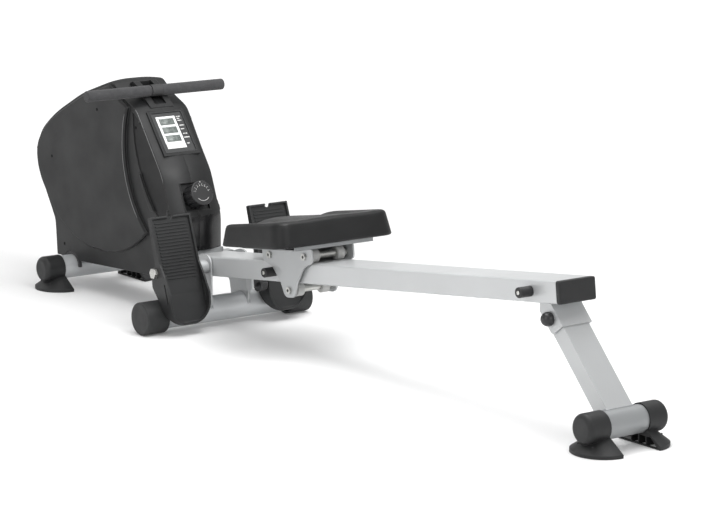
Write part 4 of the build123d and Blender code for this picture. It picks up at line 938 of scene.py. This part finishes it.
panel("overhead", (4.5, 3.5), (0.3, 0.3, 3.4), (0.1, 0, 0.2), 88)
panel("key", (2.2, 2.2), (1.8, -3.4, 2.0), (0.3, 0, 0.25), 28)
panel("rear", (2.0, 2.0), (4.4, 0.6, 1.6), (0.2, 0, 0.25), 24)
panel("front", (2.0, 2.0), (-3.0, -1.2, 2.0), (-0.6, 0, 0.3), 10)
panel("sheen", (0.9, 0.9), (0.52, 0.08, 1.46), (-0.5, 0, 0.38), 14)
panel("low", (1.2, 0.4), (-0.6, -2.2, 0.25), (-0.6, 0, 0.10), 5)


def paper():
    """White floor: matt to the lamps, and with a glow that grows with the distance
    for the camera, gloss and glass, so that it reads as paper and keeps the shadow."""
    pale = bpy.data.materials.new("floor")
    pale.use_nodes = True
    tree = pale.node_tree
    add, wire = tree.nodes.new, tree.links.new
    matt = tree.nodes["Principled BSDF"]
    matt.inputs["Base Color"].default_value = (0.86, 0.86, 0.86, 1)
    matt.inputs["Roughness"].default_value = 0.8
    matt.inputs["Specular IOR Level"].default_value = 0.1
    glow = add("ShaderNodeEmission")
    where = add("ShaderNodeNewGeometry")
    far = add("ShaderNodeVectorMath")
    far.operation = "LENGTH"
    fade = add("ShaderNodeMapRange")
    for key, value in (("From Min", 1.3), ("From Max", 6.0), ("To Min", 0.06), ("To Max", 0.75)):
        fade.inputs[key].default_value = value
    both = add("ShaderNodeAddShader")
    path = add("ShaderNodeLightPath")
    seen = add("ShaderNodeMath")
    seen.operation = "MAXIMUM"
    also = add("ShaderNodeMath")
    also.operation = "MAXIMUM"
    pick = add("ShaderNodeMixShader")
    wire(where.outputs["Position"], far.inputs[0])
    wire(far.outputs["Value"], fade.inputs["Value"])
    wire(fade.outputs["Result"], glow.inputs["Strength"])
    wire(path.outputs["Is Camera Ray"], seen.inputs[0])
    wire(path.outputs["Is Glossy Ray"], seen.inputs[1])
    wire(seen.outputs[0], also.inputs[0])
    wire(path.outputs["Is Transmission Ray"], also.inputs[1])
    wire(also.outputs[0], pick.inputs["Fac"])
    wire(matt.outputs[0], both.inputs[0])
    wire(glow.outputs[0], both.inputs[1])
    wire(matt.outputs[0], pick.inputs[1])
    wire(both.outputs[0], pick.inputs[2])
    wire(pick.outputs[0], tree.nodes["Material Output"].inputs["Surface"])
    return pale


FLOOR_HALF = 30.0
floor_mesh = bpy.data.meshes.new("floor")
floor_mesh.from_pydata([(x * FLOOR_HALF, y * FLOOR_HALF, 0) for x, y in ((-1, -1), (1, -1), (1, 1), (-1, 1))],
                       [], [(0, 1, 2, 3)])
floor = bpy.data.objects.new("floor", floor_mesh)
floor.location.z = -0.0005
scene.collection.objects.link(floor)
floor.data.materials.append(paper())

world = bpy.data.worlds.new("world")
scene.world = world
world.use_nodes = True
world.node_tree.nodes["Background"].inputs["Color"].default_value = (1, 1, 1, 1)
world.node_tree.nodes["Background"].inputs["Strength"].default_value = 0.55
scene.view_settings.view_transform = "Standard"
